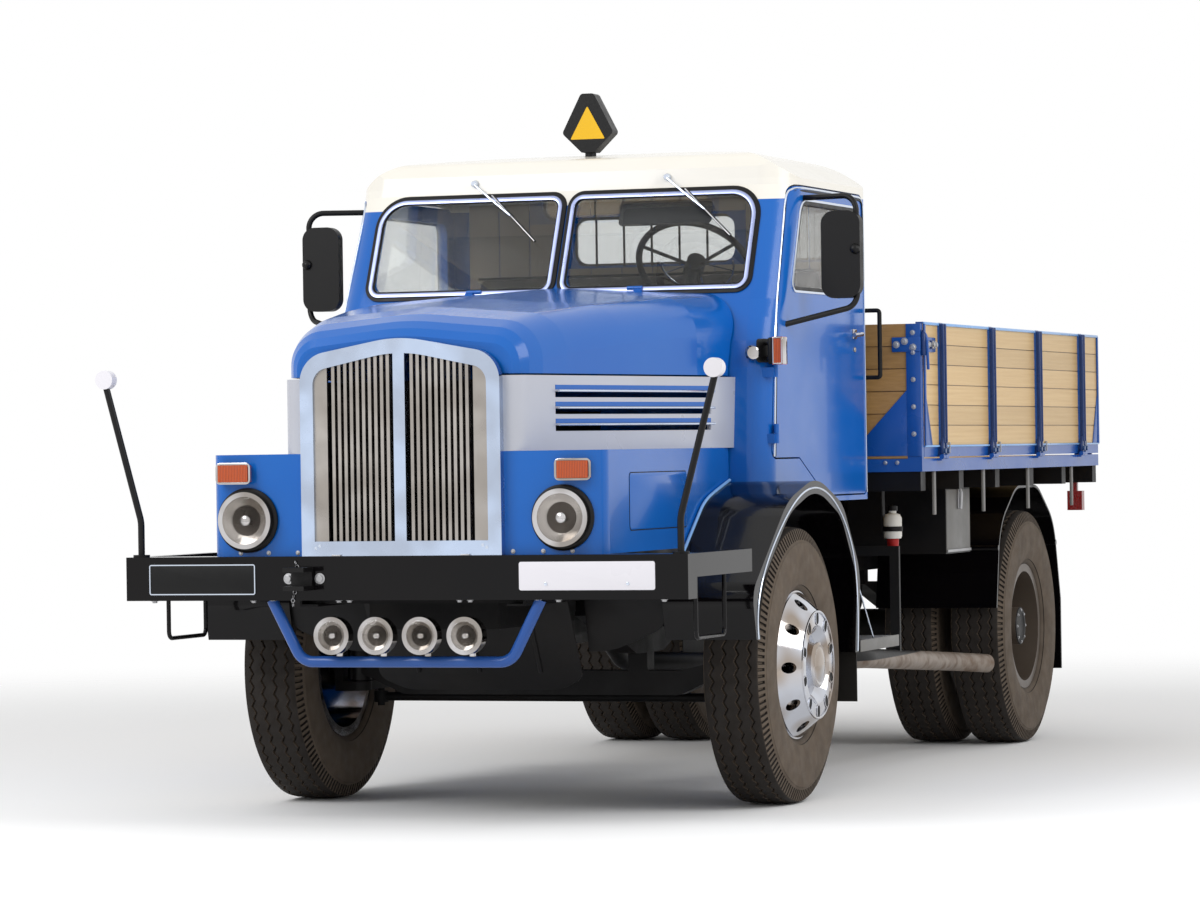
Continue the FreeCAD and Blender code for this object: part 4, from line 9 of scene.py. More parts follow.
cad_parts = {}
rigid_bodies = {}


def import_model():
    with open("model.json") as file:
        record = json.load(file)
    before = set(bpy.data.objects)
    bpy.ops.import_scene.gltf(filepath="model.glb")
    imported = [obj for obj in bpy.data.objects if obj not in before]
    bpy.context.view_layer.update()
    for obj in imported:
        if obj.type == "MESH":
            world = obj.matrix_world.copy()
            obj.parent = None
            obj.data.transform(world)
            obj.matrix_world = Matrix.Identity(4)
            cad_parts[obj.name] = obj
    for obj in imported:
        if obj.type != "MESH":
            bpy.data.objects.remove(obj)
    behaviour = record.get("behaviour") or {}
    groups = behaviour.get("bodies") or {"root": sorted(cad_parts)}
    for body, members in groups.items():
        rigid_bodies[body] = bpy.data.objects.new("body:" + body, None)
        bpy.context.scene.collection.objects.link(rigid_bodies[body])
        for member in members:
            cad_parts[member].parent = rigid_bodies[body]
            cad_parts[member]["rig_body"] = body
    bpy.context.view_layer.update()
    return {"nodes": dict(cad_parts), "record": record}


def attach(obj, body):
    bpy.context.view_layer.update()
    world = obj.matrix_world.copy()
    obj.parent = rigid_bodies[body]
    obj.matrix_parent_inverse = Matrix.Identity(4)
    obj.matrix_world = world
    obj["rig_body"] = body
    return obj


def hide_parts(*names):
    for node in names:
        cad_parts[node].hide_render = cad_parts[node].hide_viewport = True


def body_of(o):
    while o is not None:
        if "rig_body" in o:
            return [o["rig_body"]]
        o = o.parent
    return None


bl_info = {
    "name": "Decorated Truck",
    "version": (1, 0, 0),
    "blender": (4, 5, 0),
    "location": "View3D > Sidebar > Truck",
    "description": "Dresses a bonneted flatbed truck with its tyres, lamps, seals, fittings and finishes",
    "category": "Object",
}

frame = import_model()
SLOT_OF = {row["node"]: row["material_slot"] for row in frame["record"]["subparts"]}
finishes = {}


# Colours, nodes and finishes


def linear(code):
    """An sRGB hex colour as linear red, green, blue and alpha."""
    parts = [int(code[start:start + 2], 16) / 255 for start in (0, 2, 4)]
    return tuple(p / 12.92 if p <= 0.04045 else ((p + 0.055) / 1.055) ** 2.4 for p in parts) + (1.0,)


def add(tree, kind, inputs, **settings):
    """Add one node with its settings; an input is a number, a colour, its hex code or a socket to link."""
    node = tree.nodes.new(kind)
    for name, setting in settings.items():
        setattr(node, name, setting)
    for key, given in inputs.items():
        if isinstance(given, bpy.types.NodeSocket):
            tree.links.new(given, node.inputs[key])
        else:
            node.inputs[key].default_value = linear(given) if isinstance(given, str) else given
    return node


def new_finish(name):
    """An empty material, its tree and the object coordinates that its patterns follow."""
    material = bpy.data.materials.new(name)
    material.use_nodes = True
    material.node_tree.nodes.clear()
    finishes[name] = material
    place = add(material.node_tree, "ShaderNodeTexCoord", {}).outputs["Object"]
    return material.node_tree, place


def cover(tree, inputs):
    """End a finish in the one shader that every surface here uses."""
    shader = add(tree, "ShaderNodeBsdfPrincipled", inputs)
    add(tree, "ShaderNodeOutputMaterial", {"Surface": shader.outputs["BSDF"]})


def patches(tree, place, size, low=0.3, high=0.7, to_low=0.0, to_high=1.0, detail=3.0):
    """Cloudy patches about size metres across, as a number between two limits."""
    cloud = add(tree, "ShaderNodeTexNoise", {"Vector": place, "Scale": 1 / size, "Detail": detail})
    return add(tree, "ShaderNodeMapRange", {"Value": cloud.outputs["Fac"], "From Min": low,
                                            "From Max": high, "To Min": to_low,
                                            "To Max": to_high}).outputs["Result"]


def blended(tree, share, first, second):
    """Two colours mixed by a share."""
    return add(tree, "ShaderNodeMix", {"Factor": share, "A": first, "B": second},
               data_type="RGBA").outputs["Result"]


def relief(tree, height, distance, strength=1.0):
    """A bump from a height pattern; distance is the real depth in metres."""
    return add(tree, "ShaderNodeBump", {"Height": height, "Distance": distance,
                                        "Strength": strength}).outputs["Normal"]


def masked(tree, place, line, lower, upper, rise=0.0):
    """Two colours that meet at a masked line, which rises a little from front to rear."""
    height = add(tree, "ShaderNodeVectorMath", {0: place, 1: (0.0, -rise, 1.0)}, operation="DOT_PRODUCT")
    share = add(tree, "ShaderNodeMapRange", {"Value": height.outputs["Value"], "From Min": line,
                                             "From Max": line + 0.002})
    return blended(tree, share.outputs["Result"], lower, upper)


def gloss_enamel(name, colour, dust, roughness=0.2, metallic=0.0, shine=0.3, above=None):
    # Sprayed alkyd enamel: a smooth lacquer skin with a faint orange peel and thin clouds of road dust
    tree, place = new_finish(name)
    film = patches(tree, place, 0.45, 0.42, 0.75, 0.0, 0.35)
    peel = patches(tree, place, 0.006, detail=1.0)
    gloss = patches(tree, place, 0.2, 0.3, 0.7, roughness - 0.04, roughness + 0.06)
    skin = blended(tree, film, colour, dust)
    if above:
        skin = masked(tree, place, above[0], skin, above[1], 0.041)
    cover(tree, {"Base Color": skin, "Roughness": gloss, "Metallic": metallic, "Specular IOR Level": shine,
                 "Coat Weight": 0.2, "Coat Roughness": 0.04, "Normal": relief(tree, peel, 0.00006)})


def satin_paint(name, colour, dust, roughness=0.45):
    # Brushed chassis paint over rolled and cast steel: soft sheen, fine grain, pale dust in patches
    tree, place = new_finish(name)
    film = patches(tree, place, 0.3, 0.45, 0.8, 0.0, 0.5)
    grain = patches(tree, place, 0.004)
    gloss = patches(tree, place, 0.12, 0.3, 0.7, roughness - 0.08, roughness + 0.12)
    cover(tree, {"Base Color": blended(tree, film, colour, dust), "Roughness": gloss,
                 "Specular IOR Level": 0.2, "Normal": relief(tree, grain, 0.0002)})


def bright_metal(name, colour, roughness, grain_size, grain_depth, film=None):
    # Chromed or polished metal: mirror-like, with a cloudy bloom, clouds of a second colour and fine
    # polishing marks; the clouds are a thin road film on some finishes and painted reflections on others, as
    # noted where each is made
    tree, place = new_finish(name)
    bloom = patches(tree, place, 0.09, 0.3, 0.8, roughness, roughness * 2.2)
    marks = patches(tree, place, grain_size)
    clouds = patches(tree, place, 0.16, 0.42, 0.62, 0.0, 1.0, 1.0)
    cover(tree, {"Base Color": blended(tree, clouds, colour, film or colour), "Metallic": 1.0,
                 "Roughness": bloom, "Normal": relief(tree, marks, grain_depth)})


def road_rubber(name, colour, dust):
    # Carbon-black tyre rubber: matt, finely pitted, black on the worn tread and dusty brown on the walls
    tree, place = new_finish(name)
    facing = add(tree, "ShaderNodeTexCoord", {}).outputs["Normal"]
    sideways = add(tree, "ShaderNodeSeparateXYZ", {"Vector": facing}).outputs["X"]
    sideways = add(tree, "ShaderNodeMath", {0: sideways}, operation="ABSOLUTE").outputs["Value"]
    wall = add(tree, "ShaderNodeMapRange", {"Value": sideways, "From Min": 0.5, "From Max": 0.9,
                                            "To Min": 0.1, "To Max": 1.0}).outputs["Result"]
    film = patches(tree, place, 0.07, 0.3, 0.75, 0.7, 1.0)
    film = add(tree, "ShaderNodeMath", {0: film, 1: wall}, operation="MULTIPLY").outputs["Value"]
    pits = patches(tree, place, 0.0025)
    gloss = patches(tree, place, 0.05, 0.3, 0.7, 0.68, 0.9)
    cover(tree, {"Base Color": blended(tree, film, colour, dust), "Roughness": gloss,
                 "Specular IOR Level": 0.3, "Normal": relief(tree, pits, 0.0003)})


def moulded_rubber(name, colour, roughness=0.5):
    # Extruded or moulded rubber and plastic: even dark surface with a slight sheen
    tree, place = new_finish(name)
    grain = patches(tree, place, 0.0015)
    gloss = patches(tree, place, 0.06, 0.3, 0.7, roughness - 0.06, roughness + 0.08)
    cover(tree, {"Base Color": colour, "Roughness": gloss, "Specular IOR Level": 0.25,
                 "Normal": relief(tree, grain, 0.0001)})


def clear_sheet(name, colour, roughness, alpha):
    # Toughened or moulded clear sheet: sharp highlights, and what is behind shows through it
    tree, place = new_finish(name)
    smear = patches(tree, place, 0.15, 0.4, 0.8, roughness, roughness + 0.05)
    cover(tree, {"Base Color": colour, "Roughness": smear, "IOR": 1.5, "Transmission Weight": 1.0,
                 "Alpha": alpha})


def lens_plastic(name, colour, deep, painted_glow):
    # Moulded acrylic lens: saturated, wet-looking, with upright flutes about 6 mm apart on its inner face,
    # and a faint emission that is a painted glow
    tree, place = new_finish(name)
    flutes = add(tree, "ShaderNodeTexWave", {"Vector": place, "Scale": 52.0}, bands_direction="X")
    cover(tree, {"Base Color": blended(tree, flutes.outputs["Fac"], colour, deep), "Roughness": 0.12,
                 "IOR": 1.49, "Transmission Weight": 0.2, "Coat Weight": 0.3, "Coat Roughness": 0.03,
                 "Emission Color": colour, "Emission Strength": painted_glow,
                 "Normal": relief(tree, flutes.outputs["Fac"], 0.0008)})


def varnished_boards(name, early, late, joint, board_low, board_step):
    # Varnished softwood boards: tan, faint long grain, each board its own tone, a dark joint between two
    tree, place = new_finish(name)
    parts = add(tree, "ShaderNodeSeparateXYZ", {"Vector": place})
    row = add(tree, "ShaderNodeMath", {0: parts.outputs["Z"], 1: board_low}, operation="SUBTRACT")
    row = add(tree, "ShaderNodeMath", {0: row.outputs["Value"], 1: board_step}, operation="DIVIDE")
    within = add(tree, "ShaderNodeMath", {0: row.outputs["Value"]}, operation="FRACT")
    row = add(tree, "ShaderNodeMath", {0: row.outputs["Value"]}, operation="FLOOR")
    tone = add(tree, "ShaderNodeTexWhiteNoise", {"W": row.outputs["Value"]}, noise_dimensions="1D")
    shift = add(tree, "ShaderNodeVectorMath", {0: place, 1: tone.outputs["Color"]}, operation="ADD")
    # grain lines about 9 mm apart across the board and half a metre long
    stretch = add(tree, "ShaderNodeMapping", {"Vector": shift.outputs["Vector"], "Scale": (14.0, 1.6, 110.0)})
    grain = patches(tree, stretch.outputs["Vector"], 1.0, 0.3, 0.75, 0.0, 0.55, 6.0)
    pores = add(tree, "ShaderNodeMapping", {"Vector": shift.outputs["Vector"], "Scale": (60.0, 9.0, 700.0)})
    fleck = patches(tree, pores.outputs["Vector"], 1.0, 0.55, 0.75, 0.0, 0.3, 2.0)
    worn = blended(tree, fleck, blended(tree, grain, early, late), late)
    bright = add(tree, "ShaderNodeMapRange", {"Value": tone.outputs["Value"], "To Min": 0.9, "To Max": 1.06})
    toned = add(tree, "ShaderNodeVectorMath", {0: worn, "Scale": bright.outputs["Result"]}, operation="SCALE")
    seam = add(tree, "ShaderNodeMapRange", {"Value": within.outputs["Value"], "From Max": 0.05, "To Min": 1.0,
                                            "To Max": 0.0}, interpolation_type="SMOOTHSTEP")
    cover(tree, {"Base Color": blended(tree, seam.outputs["Result"], toned.outputs["Vector"], joint),
                 "Roughness": 0.42, "Specular IOR Level": 0.3, "Coat Weight": 0.15, "Coat Roughness": 0.2,
                 "Normal": relief(tree, grain, 0.0004)})


def leathercloth(name, colour, fold):
    # Vinyl leathercloth: pebbled grain about 2 mm across with a dull shine
    tree, place = new_finish(name)
    pebble = add(tree, "ShaderNodeTexVoronoi", {"Vector": place, "Scale": 420.0})
    worn = patches(tree, place, 0.12, 0.4, 0.75, 0.0, 0.6)
    cover(tree, {"Base Color": blended(tree, worn, colour, fold), "Roughness": 0.5,
                 "Normal": relief(tree, pebble.outputs["Distance"], 0.0005)})


def hot_steel(name, colour, scale, paint):
    # Bare exhaust steel: dull, brown oxide clouds over grey; its hangers, above the run, are painted
    tree, place = new_finish(name)
    rust = patches(tree, place, 0.05, 0.4, 0.7, 0.0, 1.0)
    cover(tree, {"Base Color": masked(tree, place, 0.47, blended(tree, rust, colour, scale), paint),
                 "Metallic": 0.3, "Roughness": 0.5, "Normal": relief(tree, rust, 0.0006)})


# Settings


def colour_setting(name, description, code):
    """A colour in the panel."""
    return bpy.props.FloatVectorProperty(name=name, description=description, subtype="COLOR", size=4,
                                         min=0.0, max=1.0, default=linear(code))


def length_setting(name, description, default, low, high):
    """A length in the panel, in metres."""
    return bpy.props.FloatProperty(name=name, description=description, subtype="DISTANCE", unit="LENGTH",
                                   default=default, min=low, max=high)


class TruckPaint(bpy.types.PropertyGroup):
    """The truck's colours."""
    cab: colour_setting("Cab", "Gloss enamel on the cab, bonnet and nose", "075CB2")
    roof: colour_setting("Roof", "Enamel on the cab's roof", "E9E5DB")
    bonnet_side: colour_setting("Bonnet side", "Silver paint on the louvred side panels", "B9BCC6")
    lamp_bar: colour_setting("Lamp bar", "Paint on the tube round the fog lamps", "1E4C94")
    boards: colour_setting("Boards", "Pale wood of the bed's boards", "D3B37E")


class TruckSizes(bpy.types.PropertyGroup):
    """Sizes of what is added to the truck."""
    tread_depth: length_setting("Tread depth", "Depth of the tyres' zig-zag grooves", 0.011, 0.002, 0.02)
    tread_sway: length_setting("Tread sway", "How far the grooves swing to each side", 0.007, 0.0, 0.012)
    seal_width: length_setting("Seal width", "Width of the rubber round the panes", 0.026, 0.01, 0.04)
    glass_bulge: length_setting("Glass bulge", "How far a lamp's glass stands proud", 0.014, 0.004, 0.02)


# Modelling by hand


OUT, AHEAD, UP, DOWN = (1.0, 0.0, 0.0), (0.0, -1.0, 0.0), (0.0, 0.0, 1.0), (0.0, 0.0, -1.0)
MIRROR = Matrix.Scale(-1, 4, OUT)


@contextmanager
def editing(thing, parts="VERT"):
    """Edit mode on one mesh with nothing in it selected."""
    hold(thing)
    bpy.ops.object.mode_set(mode="EDIT")
    bpy.ops.mesh.select_mode(type=parts)
    bpy.ops.mesh.select_all(action="DESELECT")
    yield
    bpy.ops.object.mode_set(mode="OBJECT")


def hold(*things):
    """Select only these objects, the first one active."""
    bpy.ops.object.select_all(action="DESELECT")
    for thing in things:
        thing.select_set(True)
    bpy.context.view_layer.objects.active = things[0]


def pick(thing, test, parts="faces"):
    """In edit mode, select the parts that pass a test, and nothing else."""
    bpy.ops.mesh.select_all(action="DESELECT")
    mesh = bmesh.from_edit_mesh(thing.data)
    for part in getattr(mesh, parts):
        if test(part):
            part.select_set(True)
    bmesh.update_edit_mesh(thing.data)


def settle(thing):
    """Put an object's place, turn and size into its mesh."""
    hold(thing)
    bpy.ops.object.transform_apply(location=True, rotation=True, scale=True)
    return thing


def modified(thing, kind, **settings):
    """Add one modifier with its settings and apply it."""
    hold(thing)
    modifier = thing.modifiers.new(kind, kind)
    for name, setting in settings.items():
        setattr(modifier, name, setting)
    bpy.ops.object.modifier_apply(modifier=modifier.name)
    return thing


def dressed(thing, finish):
    """Give a piece its one finish."""
    thing.data.materials.clear()
    thing.data.materials.append(finishes[finish])
    return thing


def strung(points):
    """A line of vertices through the points, drawn by extruding one vertex from point to point."""
    bpy.ops.object.select_all(action="DESELECT")
    bpy.ops.mesh.primitive_plane_add(size=1.0, location=points[0])
    line = bpy.context.object
    with editing(line):
        bpy.ops.mesh.select_all(action="SELECT")
        bpy.ops.mesh.merge(type="CENTER")
        for before, after in zip(points, points[1:]):
            step = Vector(after) - Vector(before)
            bpy.ops.mesh.extrude_region_move(TRANSFORM_OT_translate={"value": step})
    return settle(line)


def turned(finish, profile, centre, steps, axis=OUT):
    """A profile of (along, radius) points spun round an axis through the centre."""
    along, centre = Vector(axis), Vector(centre)
    radial = Vector(OUT if axis[2] else UP)
    thing = strung([centre + along * step + radial * radius for step, radius in profile])
    with editing(thing):
        bpy.ops.mesh.select_all(action="SELECT")
        bpy.ops.mesh.spin(steps=steps, angle=math.tau, center=centre, axis=along)
        bpy.ops.mesh.select_all(action="SELECT")
        bpy.ops.mesh.remove_doubles(threshold=0.00002)
        bpy.ops.mesh.normals_make_consistent(inside=False)
    return dressed(thing, finish)


def upright(low, high):
    """The corners of an upright rectangle between a lower and the opposite upper corner."""
    return [(*low[:2], low[2]), (*low[:2], high[2]), (*high[:2], high[2]), (*high[:2], low[2])]


def panel(corners, radii, segments=6):
    """A flat face through the corners, each rounded by its radius."""
    thing = strung(corners)
    with editing(thing):
        bpy.ops.mesh.select_all(action="SELECT")
        bpy.ops.mesh.edge_face_add()
        for corner, radius in zip(corners, radii):
            if radius:
                spot = Vector(corner)
                pick(thing, lambda vertex: (vertex.co - spot).length < 0.0005, "verts")
                bpy.ops.mesh.bevel(offset=radius, segments=segments, affect="VERTICES")
    return thing


def plate(finish, corners, radii, step, edge=0.0, rim=0.0, segments=6, edge_segments=2):
    """A flat piece of sheet: its outline rounded, cut to a rim where asked, and extruded by a step."""
    if not isinstance(radii, (list, tuple)):
        radii = [radii] * len(corners)
    thing = panel(corners, radii, segments)
    with editing(thing, "FACE"):
        bpy.ops.mesh.select_all(action="SELECT")
        if rim:
            bpy.ops.mesh.inset(thickness=rim)
            bpy.ops.mesh.delete(type="FACE")
            bpy.ops.mesh.select_all(action="SELECT")
        bpy.ops.mesh.extrude_region_move(TRANSFORM_OT_translate={"value": step})
        bpy.ops.mesh.select_all(action="SELECT")
        bpy.ops.mesh.normals_make_consistent(inside=False)
    if edge:
        modified(thing, "BEVEL", width=edge, segments=edge_segments, limit_method="ANGLE",
                 angle_limit=math.radians(50), use_clamp_overlap=True)
    return dressed(thing, finish)


def tube(finish, points, radius, order=2, round_steps=3):
    """A bar along the points; order 2 gives straight runs, more gives a smooth line."""
    bpy.ops.object.select_all(action="DESELECT")
    bpy.ops.curve.primitive_nurbs_path_add()
    thing = bpy.context.object
    line = thing.data
    line.splines.clear()
    run = line.splines.new("NURBS")
    run.points.add(len(points) - 1)
    for point, place in zip(run.points, points):
        point.co = (*place, 1.0)
    run.order_u = order
    run.use_endpoint_u = True
    thing.location = (0.0, 0.0, 0.0)
    line.bevel_depth = radius
    line.bevel_resolution = round_steps
    line.use_fill_caps = True
    hold(thing)
    bpy.ops.object.convert(target="MESH")
    return dressed(settle(thing), finish)


def block(finish, low, high, edge, segments=2):
    """A block between two corners with its edges softened."""
    low, high = Vector(low), Vector(high)
    bpy.ops.object.select_all(action="DESELECT")
    bpy.ops.mesh.primitive_cube_add(size=1.0, location=(low + high) / 2, scale=high - low)
    thing = settle(bpy.context.object)
    return dressed(modified(thing, "BEVEL", width=edge, segments=segments), finish)


def bolt(place, axis, radius, finish="bolt steel", sides=6):
    """A bolt head with a washer, standing on a face."""
    profile = [(0.0, radius * 1.5), (radius * 0.25, radius * 1.5), (radius * 0.3, radius),
               (radius * 0.85, radius), (radius, radius * 0.8), (radius, 0.0)]
    return turned(finish, profile, place, sides * 2, axis)


def bent_to(thing, move):
    """Move each vertex to where a rule puts it."""
    for vertex in thing.data.vertices:
        vertex.co = move(vertex.co)
    thing.data.update()
    return thing


def copied(thing, matrix):
    """A copy with its own mesh, moved by the matrix; a mirrored copy is turned right side out."""
    other = bpy.data.objects.new(thing.name, thing.data.copy())
    bpy.context.scene.collection.objects.link(other)
    other.data.transform(matrix)
    if matrix.determinant() < 0:
        with editing(other):
            bpy.ops.mesh.select_all(action="SELECT")
            bpy.ops.mesh.flip_normals()
    return other


def both(things):
    """The things and their copies on the truck's other side."""
    return list(things) + [copied(thing, MIRROR) for thing in things]


def spread(things, moves):
    """The things and a copy of them at each move."""
    return list(things) + [copied(thing, Matrix.Translation(move)) for move in moves for thing in things]


def set_round(thing, centre, count):
    """Copies of a thing set round an axle."""
    copies = [thing]
    for number in range(1, count):
        turn = Matrix.Rotation(math.tau * number / count, 4, "X")
        copies.append(copied(thing, Matrix.Translation(centre) @ turn @ Matrix.Translation(-centre)))
    return copies


def fitted(name, things, body="truck", nodes=(), smooth=32):
    """Join the things into one named piece that rides on a body and may stand for CAD nodes."""
    hold(*things)
    if len(things) > 1:
        bpy.ops.object.join()
    piece = bpy.context.view_layer.objects.active
    piece.name = name
    piece.data.name = name
    bpy.ops.object.shade_smooth_by_angle(angle=math.radians(smooth))
    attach(piece, body)
    if nodes:
        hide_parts(*nodes)
    return piece


def fitted_sides(name, things, body, node=None):
    """One piece on each side of the truck, which rides on that side's body."""
    for side, matrix in (("left", Matrix.Identity(4)), ("right", MIRROR)):
        members = [copied(thing, matrix) for thing in things]
        fitted(f"{name}_{side}", members, f"{body}_{side}", (f"{node}_{side}",) if node else ())


# Where the cab's faces lie


CAB_SECTIONS = (
    # height, front face, radius of the front corners
    (1.121, -1.48, 0.09), (1.64, -1.445, 0.09), (1.74, -1.42, 0.099), (1.83, -1.375, 0.1044),
    (1.9, -1.335, 0.1098), (2.345, -1.128, 0.135), (2.522, -1.1, 0.153))
CAB_HALF_WIDTH = 0.905


def cab_section(height):
    """The cab's front face and front corner radius at a height."""
    for (low, front, radius), (high, next_front, next_radius) in zip(CAB_SECTIONS, CAB_SECTIONS[1:]):
        if height <= high:
            break
    share = min(max((height - low) / (high - low), 0.0), 1.0)
    return front + (next_front - front) * share, radius + (next_radius - radius) * share


def screen_y(across, height):
    """Where the cab's front face lies along the truck."""
    front, radius = cab_section(height)
    past = min(max(abs(across) - (CAB_HALF_WIDTH - radius), 0.0), radius)
    return front + radius - math.sqrt(radius * radius - past * past)


def side_x(along, height):
    """How far out the left side of the cab lies."""
    front, radius = cab_section(height)
    past = min(max(front + radius - along, 0.0), radius)
    return CAB_HALF_WIDTH - radius + math.sqrt(radius * radius - past * past)


def on_side(along, height, out=0.0):
    """A point on the cab's left side."""
    return (side_x(along, height) + out, along, height)


# Tyres


FRONT_WHEEL = Vector((0.917, -1.5, 0.519))
REAR_WHEEL = Vector((0.885, 2.05, 0.519))
INNER_WHEEL = Vector((0.585, 2.05, 0.519))
TREAD_ROWS = 256
RIB_REACH, RIB_FOOT = 0.09, 0.49
NOTCH_LOW, NOTCH_HIGH = 0.475, 0.5


def tread_profile(depth):
    """Half a tyre's section, from the tread's middle to the bead, as (across, radius)."""
    floor = 0.516 - depth
    return [(0.0, 0.519), (0.0195, 0.519), (0.0215, floor), (0.0275, floor), (0.0295, 0.5186),
            (0.0665, 0.5165), (0.0685, floor - 0.002), (0.0745, floor - 0.002), (0.0765, 0.5158),
            (0.0985, 0.5125), (0.1035, 0.5085), (0.1165, 0.4675), (0.1195, 0.4625), (0.1205, 0.4595),
            (0.1222, 0.4575), (0.1238, 0.43), (0.1243, 0.395), (0.1228, 0.36), (0.118, 0.325), (0.112, 0.304),
            (0.1105, 0.2995), (0.107, 0.2985), (0.101, 0.288), (0.0945, 0.28), (0.089, 0.276), (0.088, 0.257)]


def tyre(centre):
    """One crossply tyre with zig-zag ribs and notched shoulders."""
    sizes = bpy.context.scene.truck_sizes
    half = tread_profile(sizes.tread_depth)
    whole = [(-across, radius) for across, radius in reversed(half[1:])] + half
    thing = turned("tyre rubber", whole, centre, TREAD_ROWS)

    def rows_round(spot):
        return math.atan2(spot.y - centre.y, spot.z - centre.z) * TREAD_ROWS / math.tau

    def notch(face):
        spot = face.calc_center_median()
        inside = NOTCH_LOW < (spot.yz - centre.yz).length < NOTCH_HIGH
        return inside and int(rows_round(spot) + TREAD_ROWS) % 2 == 0

    with editing(thing):
        for row, sway in ((1, sizes.tread_sway), (3, -sizes.tread_sway)):
            pick(thing, lambda vertex: abs(vertex.co.x - centre.x) < RIB_REACH
                 and (vertex.co.yz - centre.yz).length > RIB_FOOT
                 and round(rows_round(vertex.co)) % 4 == row, "verts")
            bpy.ops.transform.translate(value=(sway, 0.0, 0.0))
    with editing(thing, "FACE"):
        pick(thing, notch)
        bpy.ops.mesh.inset(thickness=0.0028, depth=-0.008, use_individual=True)
    return thing


class OBJECT_OT_truck_tyres(bpy.types.Operator):
    """Build the tyres with their zig-zag tread and shoulder notches"""
    bl_idname = "object.truck_tyres"
    bl_label = "Tyres"

    def execute(self, context):
        front = tyre(FRONT_WHEEL)
        rear = [copied(front, Matrix.Translation(place - FRONT_WHEEL)) for place in (REAR_WHEEL, INNER_WHEEL)]
        fitted_sides("front_tread", [front], "front_wheel", "front_tyre")
        fitted_sides("rear_tread", rear, "rear_wheels", "rear_tyres")
        return {"FINISHED"}


# Lamps


HEADLAMP = (0.6, -2.924, 1.101)
FOG_LAMP_Y, FOG_LAMP_Z = -2.968, 0.691


def lamp_insides(centre, radius, ribbed):
    """A lamp's bowl, throat, bulb shield and domed glass; the glass has upright ribs where asked."""
    bulge = bpy.context.scene.truck_sizes.glass_bulge
    # the bowl's darker chrome is a painted dark reflection and the throat's near-black chrome is painted
    # shade
    bowl = turned("reflector chrome", [(-0.002, radius), (-0.008, radius * 0.86), (-0.0135, radius * 0.6)],
                  centre, 48, AHEAD)
    throat = turned("shaded chrome", [(-0.0135, radius * 0.6), (-0.0165, radius * 0.35), (-0.0172, 0.0)],
                    centre, 48, AHEAD)
    shield = turned("lamp chrome", [(-0.016, radius * 0.2), (-0.004, radius * 0.2), (0.0, radius * 0.14),
                                    (0.001, 0.0)], centre, 24, AHEAD)
    dome = [(0.0, radius), (0.002, radius)]
    dome += [(0.002 + bulge * (1 - share * share), radius * share) for share in (0.93, 0.8, 0.6, 0.35, 0.0)]
    glass = turned("lens glass", dome, centre, 64, AHEAD)

    def fluted(spot):
        wave = abs(math.sin((spot.x - centre[0]) * 11 / radius * math.pi / 2)) * 0.0016
        return spot + Vector((0.0, wave if spot.y < centre[1] - 0.003 else 0.0, 0.0))
    if ribbed:
        bent_to(modified(glass, "SUBSURF", levels=2, render_levels=2), fluted)
    return [bowl, throat, shield], glass


class OBJECT_OT_truck_lamps(bpy.types.Operator):
    """Build the bowls and glasses of the headlamps and fog lamps"""
    bl_idname = "object.truck_lamps"
    bl_label = "Lamps"

    def execute(self, context):
        bowls, glasses = [], []
        for centre, radius, ribbed in ((HEADLAMP, 0.092, False),
                                       ((0.084, FOG_LAMP_Y, FOG_LAMP_Z), 0.061, False),
                                       ((0.253, FOG_LAMP_Y, FOG_LAMP_Z), 0.061, True)):
            insides, glass = lamp_insides(centre, radius, ribbed)
            bowls += insides
            glasses.append(glass)
        fitted("lamp_bowls", both(bowls))
        fitted("lamp_glasses", both(glasses), nodes=("lamp_lenses",))
        return {"FINISHED"}


# Window seals


def screen_ring(finish, grow, width, thick, rise):
    """A ring round a windscreen pane: how far outside it, its width, thickness and height off the face."""
    corners = upright((0.028 - grow, 0.0, 1.952 - grow), (0.77 + grow, 0.0, 2.318 + grow))
    radii = [0.038 + grow, 0.038 + grow, 0.098 + grow, 0.038 + grow]
    ring = plate(finish, corners, radii, (0.0, -thick, 0.0), thick * 0.3, width, 10)
    return bent_to(ring, lambda spot: Vector((spot.x, spot.y + screen_y(spot.x, spot.z) - rise, spot.z)))


def door_ring(finish, grow, width, thick, rise):
    """The same round a door window."""
    corners = [(0.0, -1.148 - grow, 1.945 - grow), (0.0, -1.0 - grow, 2.276 + grow),
               (0.0, -0.245 + grow, 2.276 + grow), (0.0, -0.245 + grow, 1.945 - grow)]
    ring = plate(finish, corners, 0.045 + grow, (thick, 0.0, 0.0), thick * 0.3, width, 8)
    return bent_to(ring, lambda spot: Vector((spot.x + side_x(spot.y, spot.z) + rise, spot.y, spot.z)))


def rear_ring(finish, grow, width, thick, rise):
    """The same round the cab's rear window."""
    back = rise - 0.1
    corners = upright((-0.352 - grow, back, 2.092 - grow), (0.352 + grow, back, 2.292 + grow))
    return plate(finish, corners, 0.055 + grow, (0.0, thick, 0.0), thick * 0.3, width, 8)


class OBJECT_OT_truck_seals(bpy.types.Operator):
    """Build the rubber seals and bright trims round the panes"""
    bl_idname = "object.truck_seals"
    bl_label = "Window seals"

    def execute(self, context):
        width = context.scene.truck_sizes.seal_width
        rubber = both([screen_ring("seal rubber", width, width + 0.012, 0.011, -0.004)])
        rubber.append(rear_ring("seal rubber", width * 0.6, width, 0.01, -0.004))
        fitted("screen_seals", rubber)
        fitted("screen_trims", both([screen_ring("screen trim", 0.01, 0.016, 0.008, 0.006)]))
        rings = [door_ring("seal rubber", 0.008, 0.014, 0.006, -0.003),
                 door_ring("chrome trim", 0.018, 0.01, 0.008, -0.003)]
        fitted_sides("door_seal", rings, "door")
        return {"FINISHED"}


# Bonnet and nose trim


def bonnet_side_x(along):
    """The face of the silver side panel at a place along the truck."""
    return 0.452 + (2.891 + along) * 0.318 / 1.446


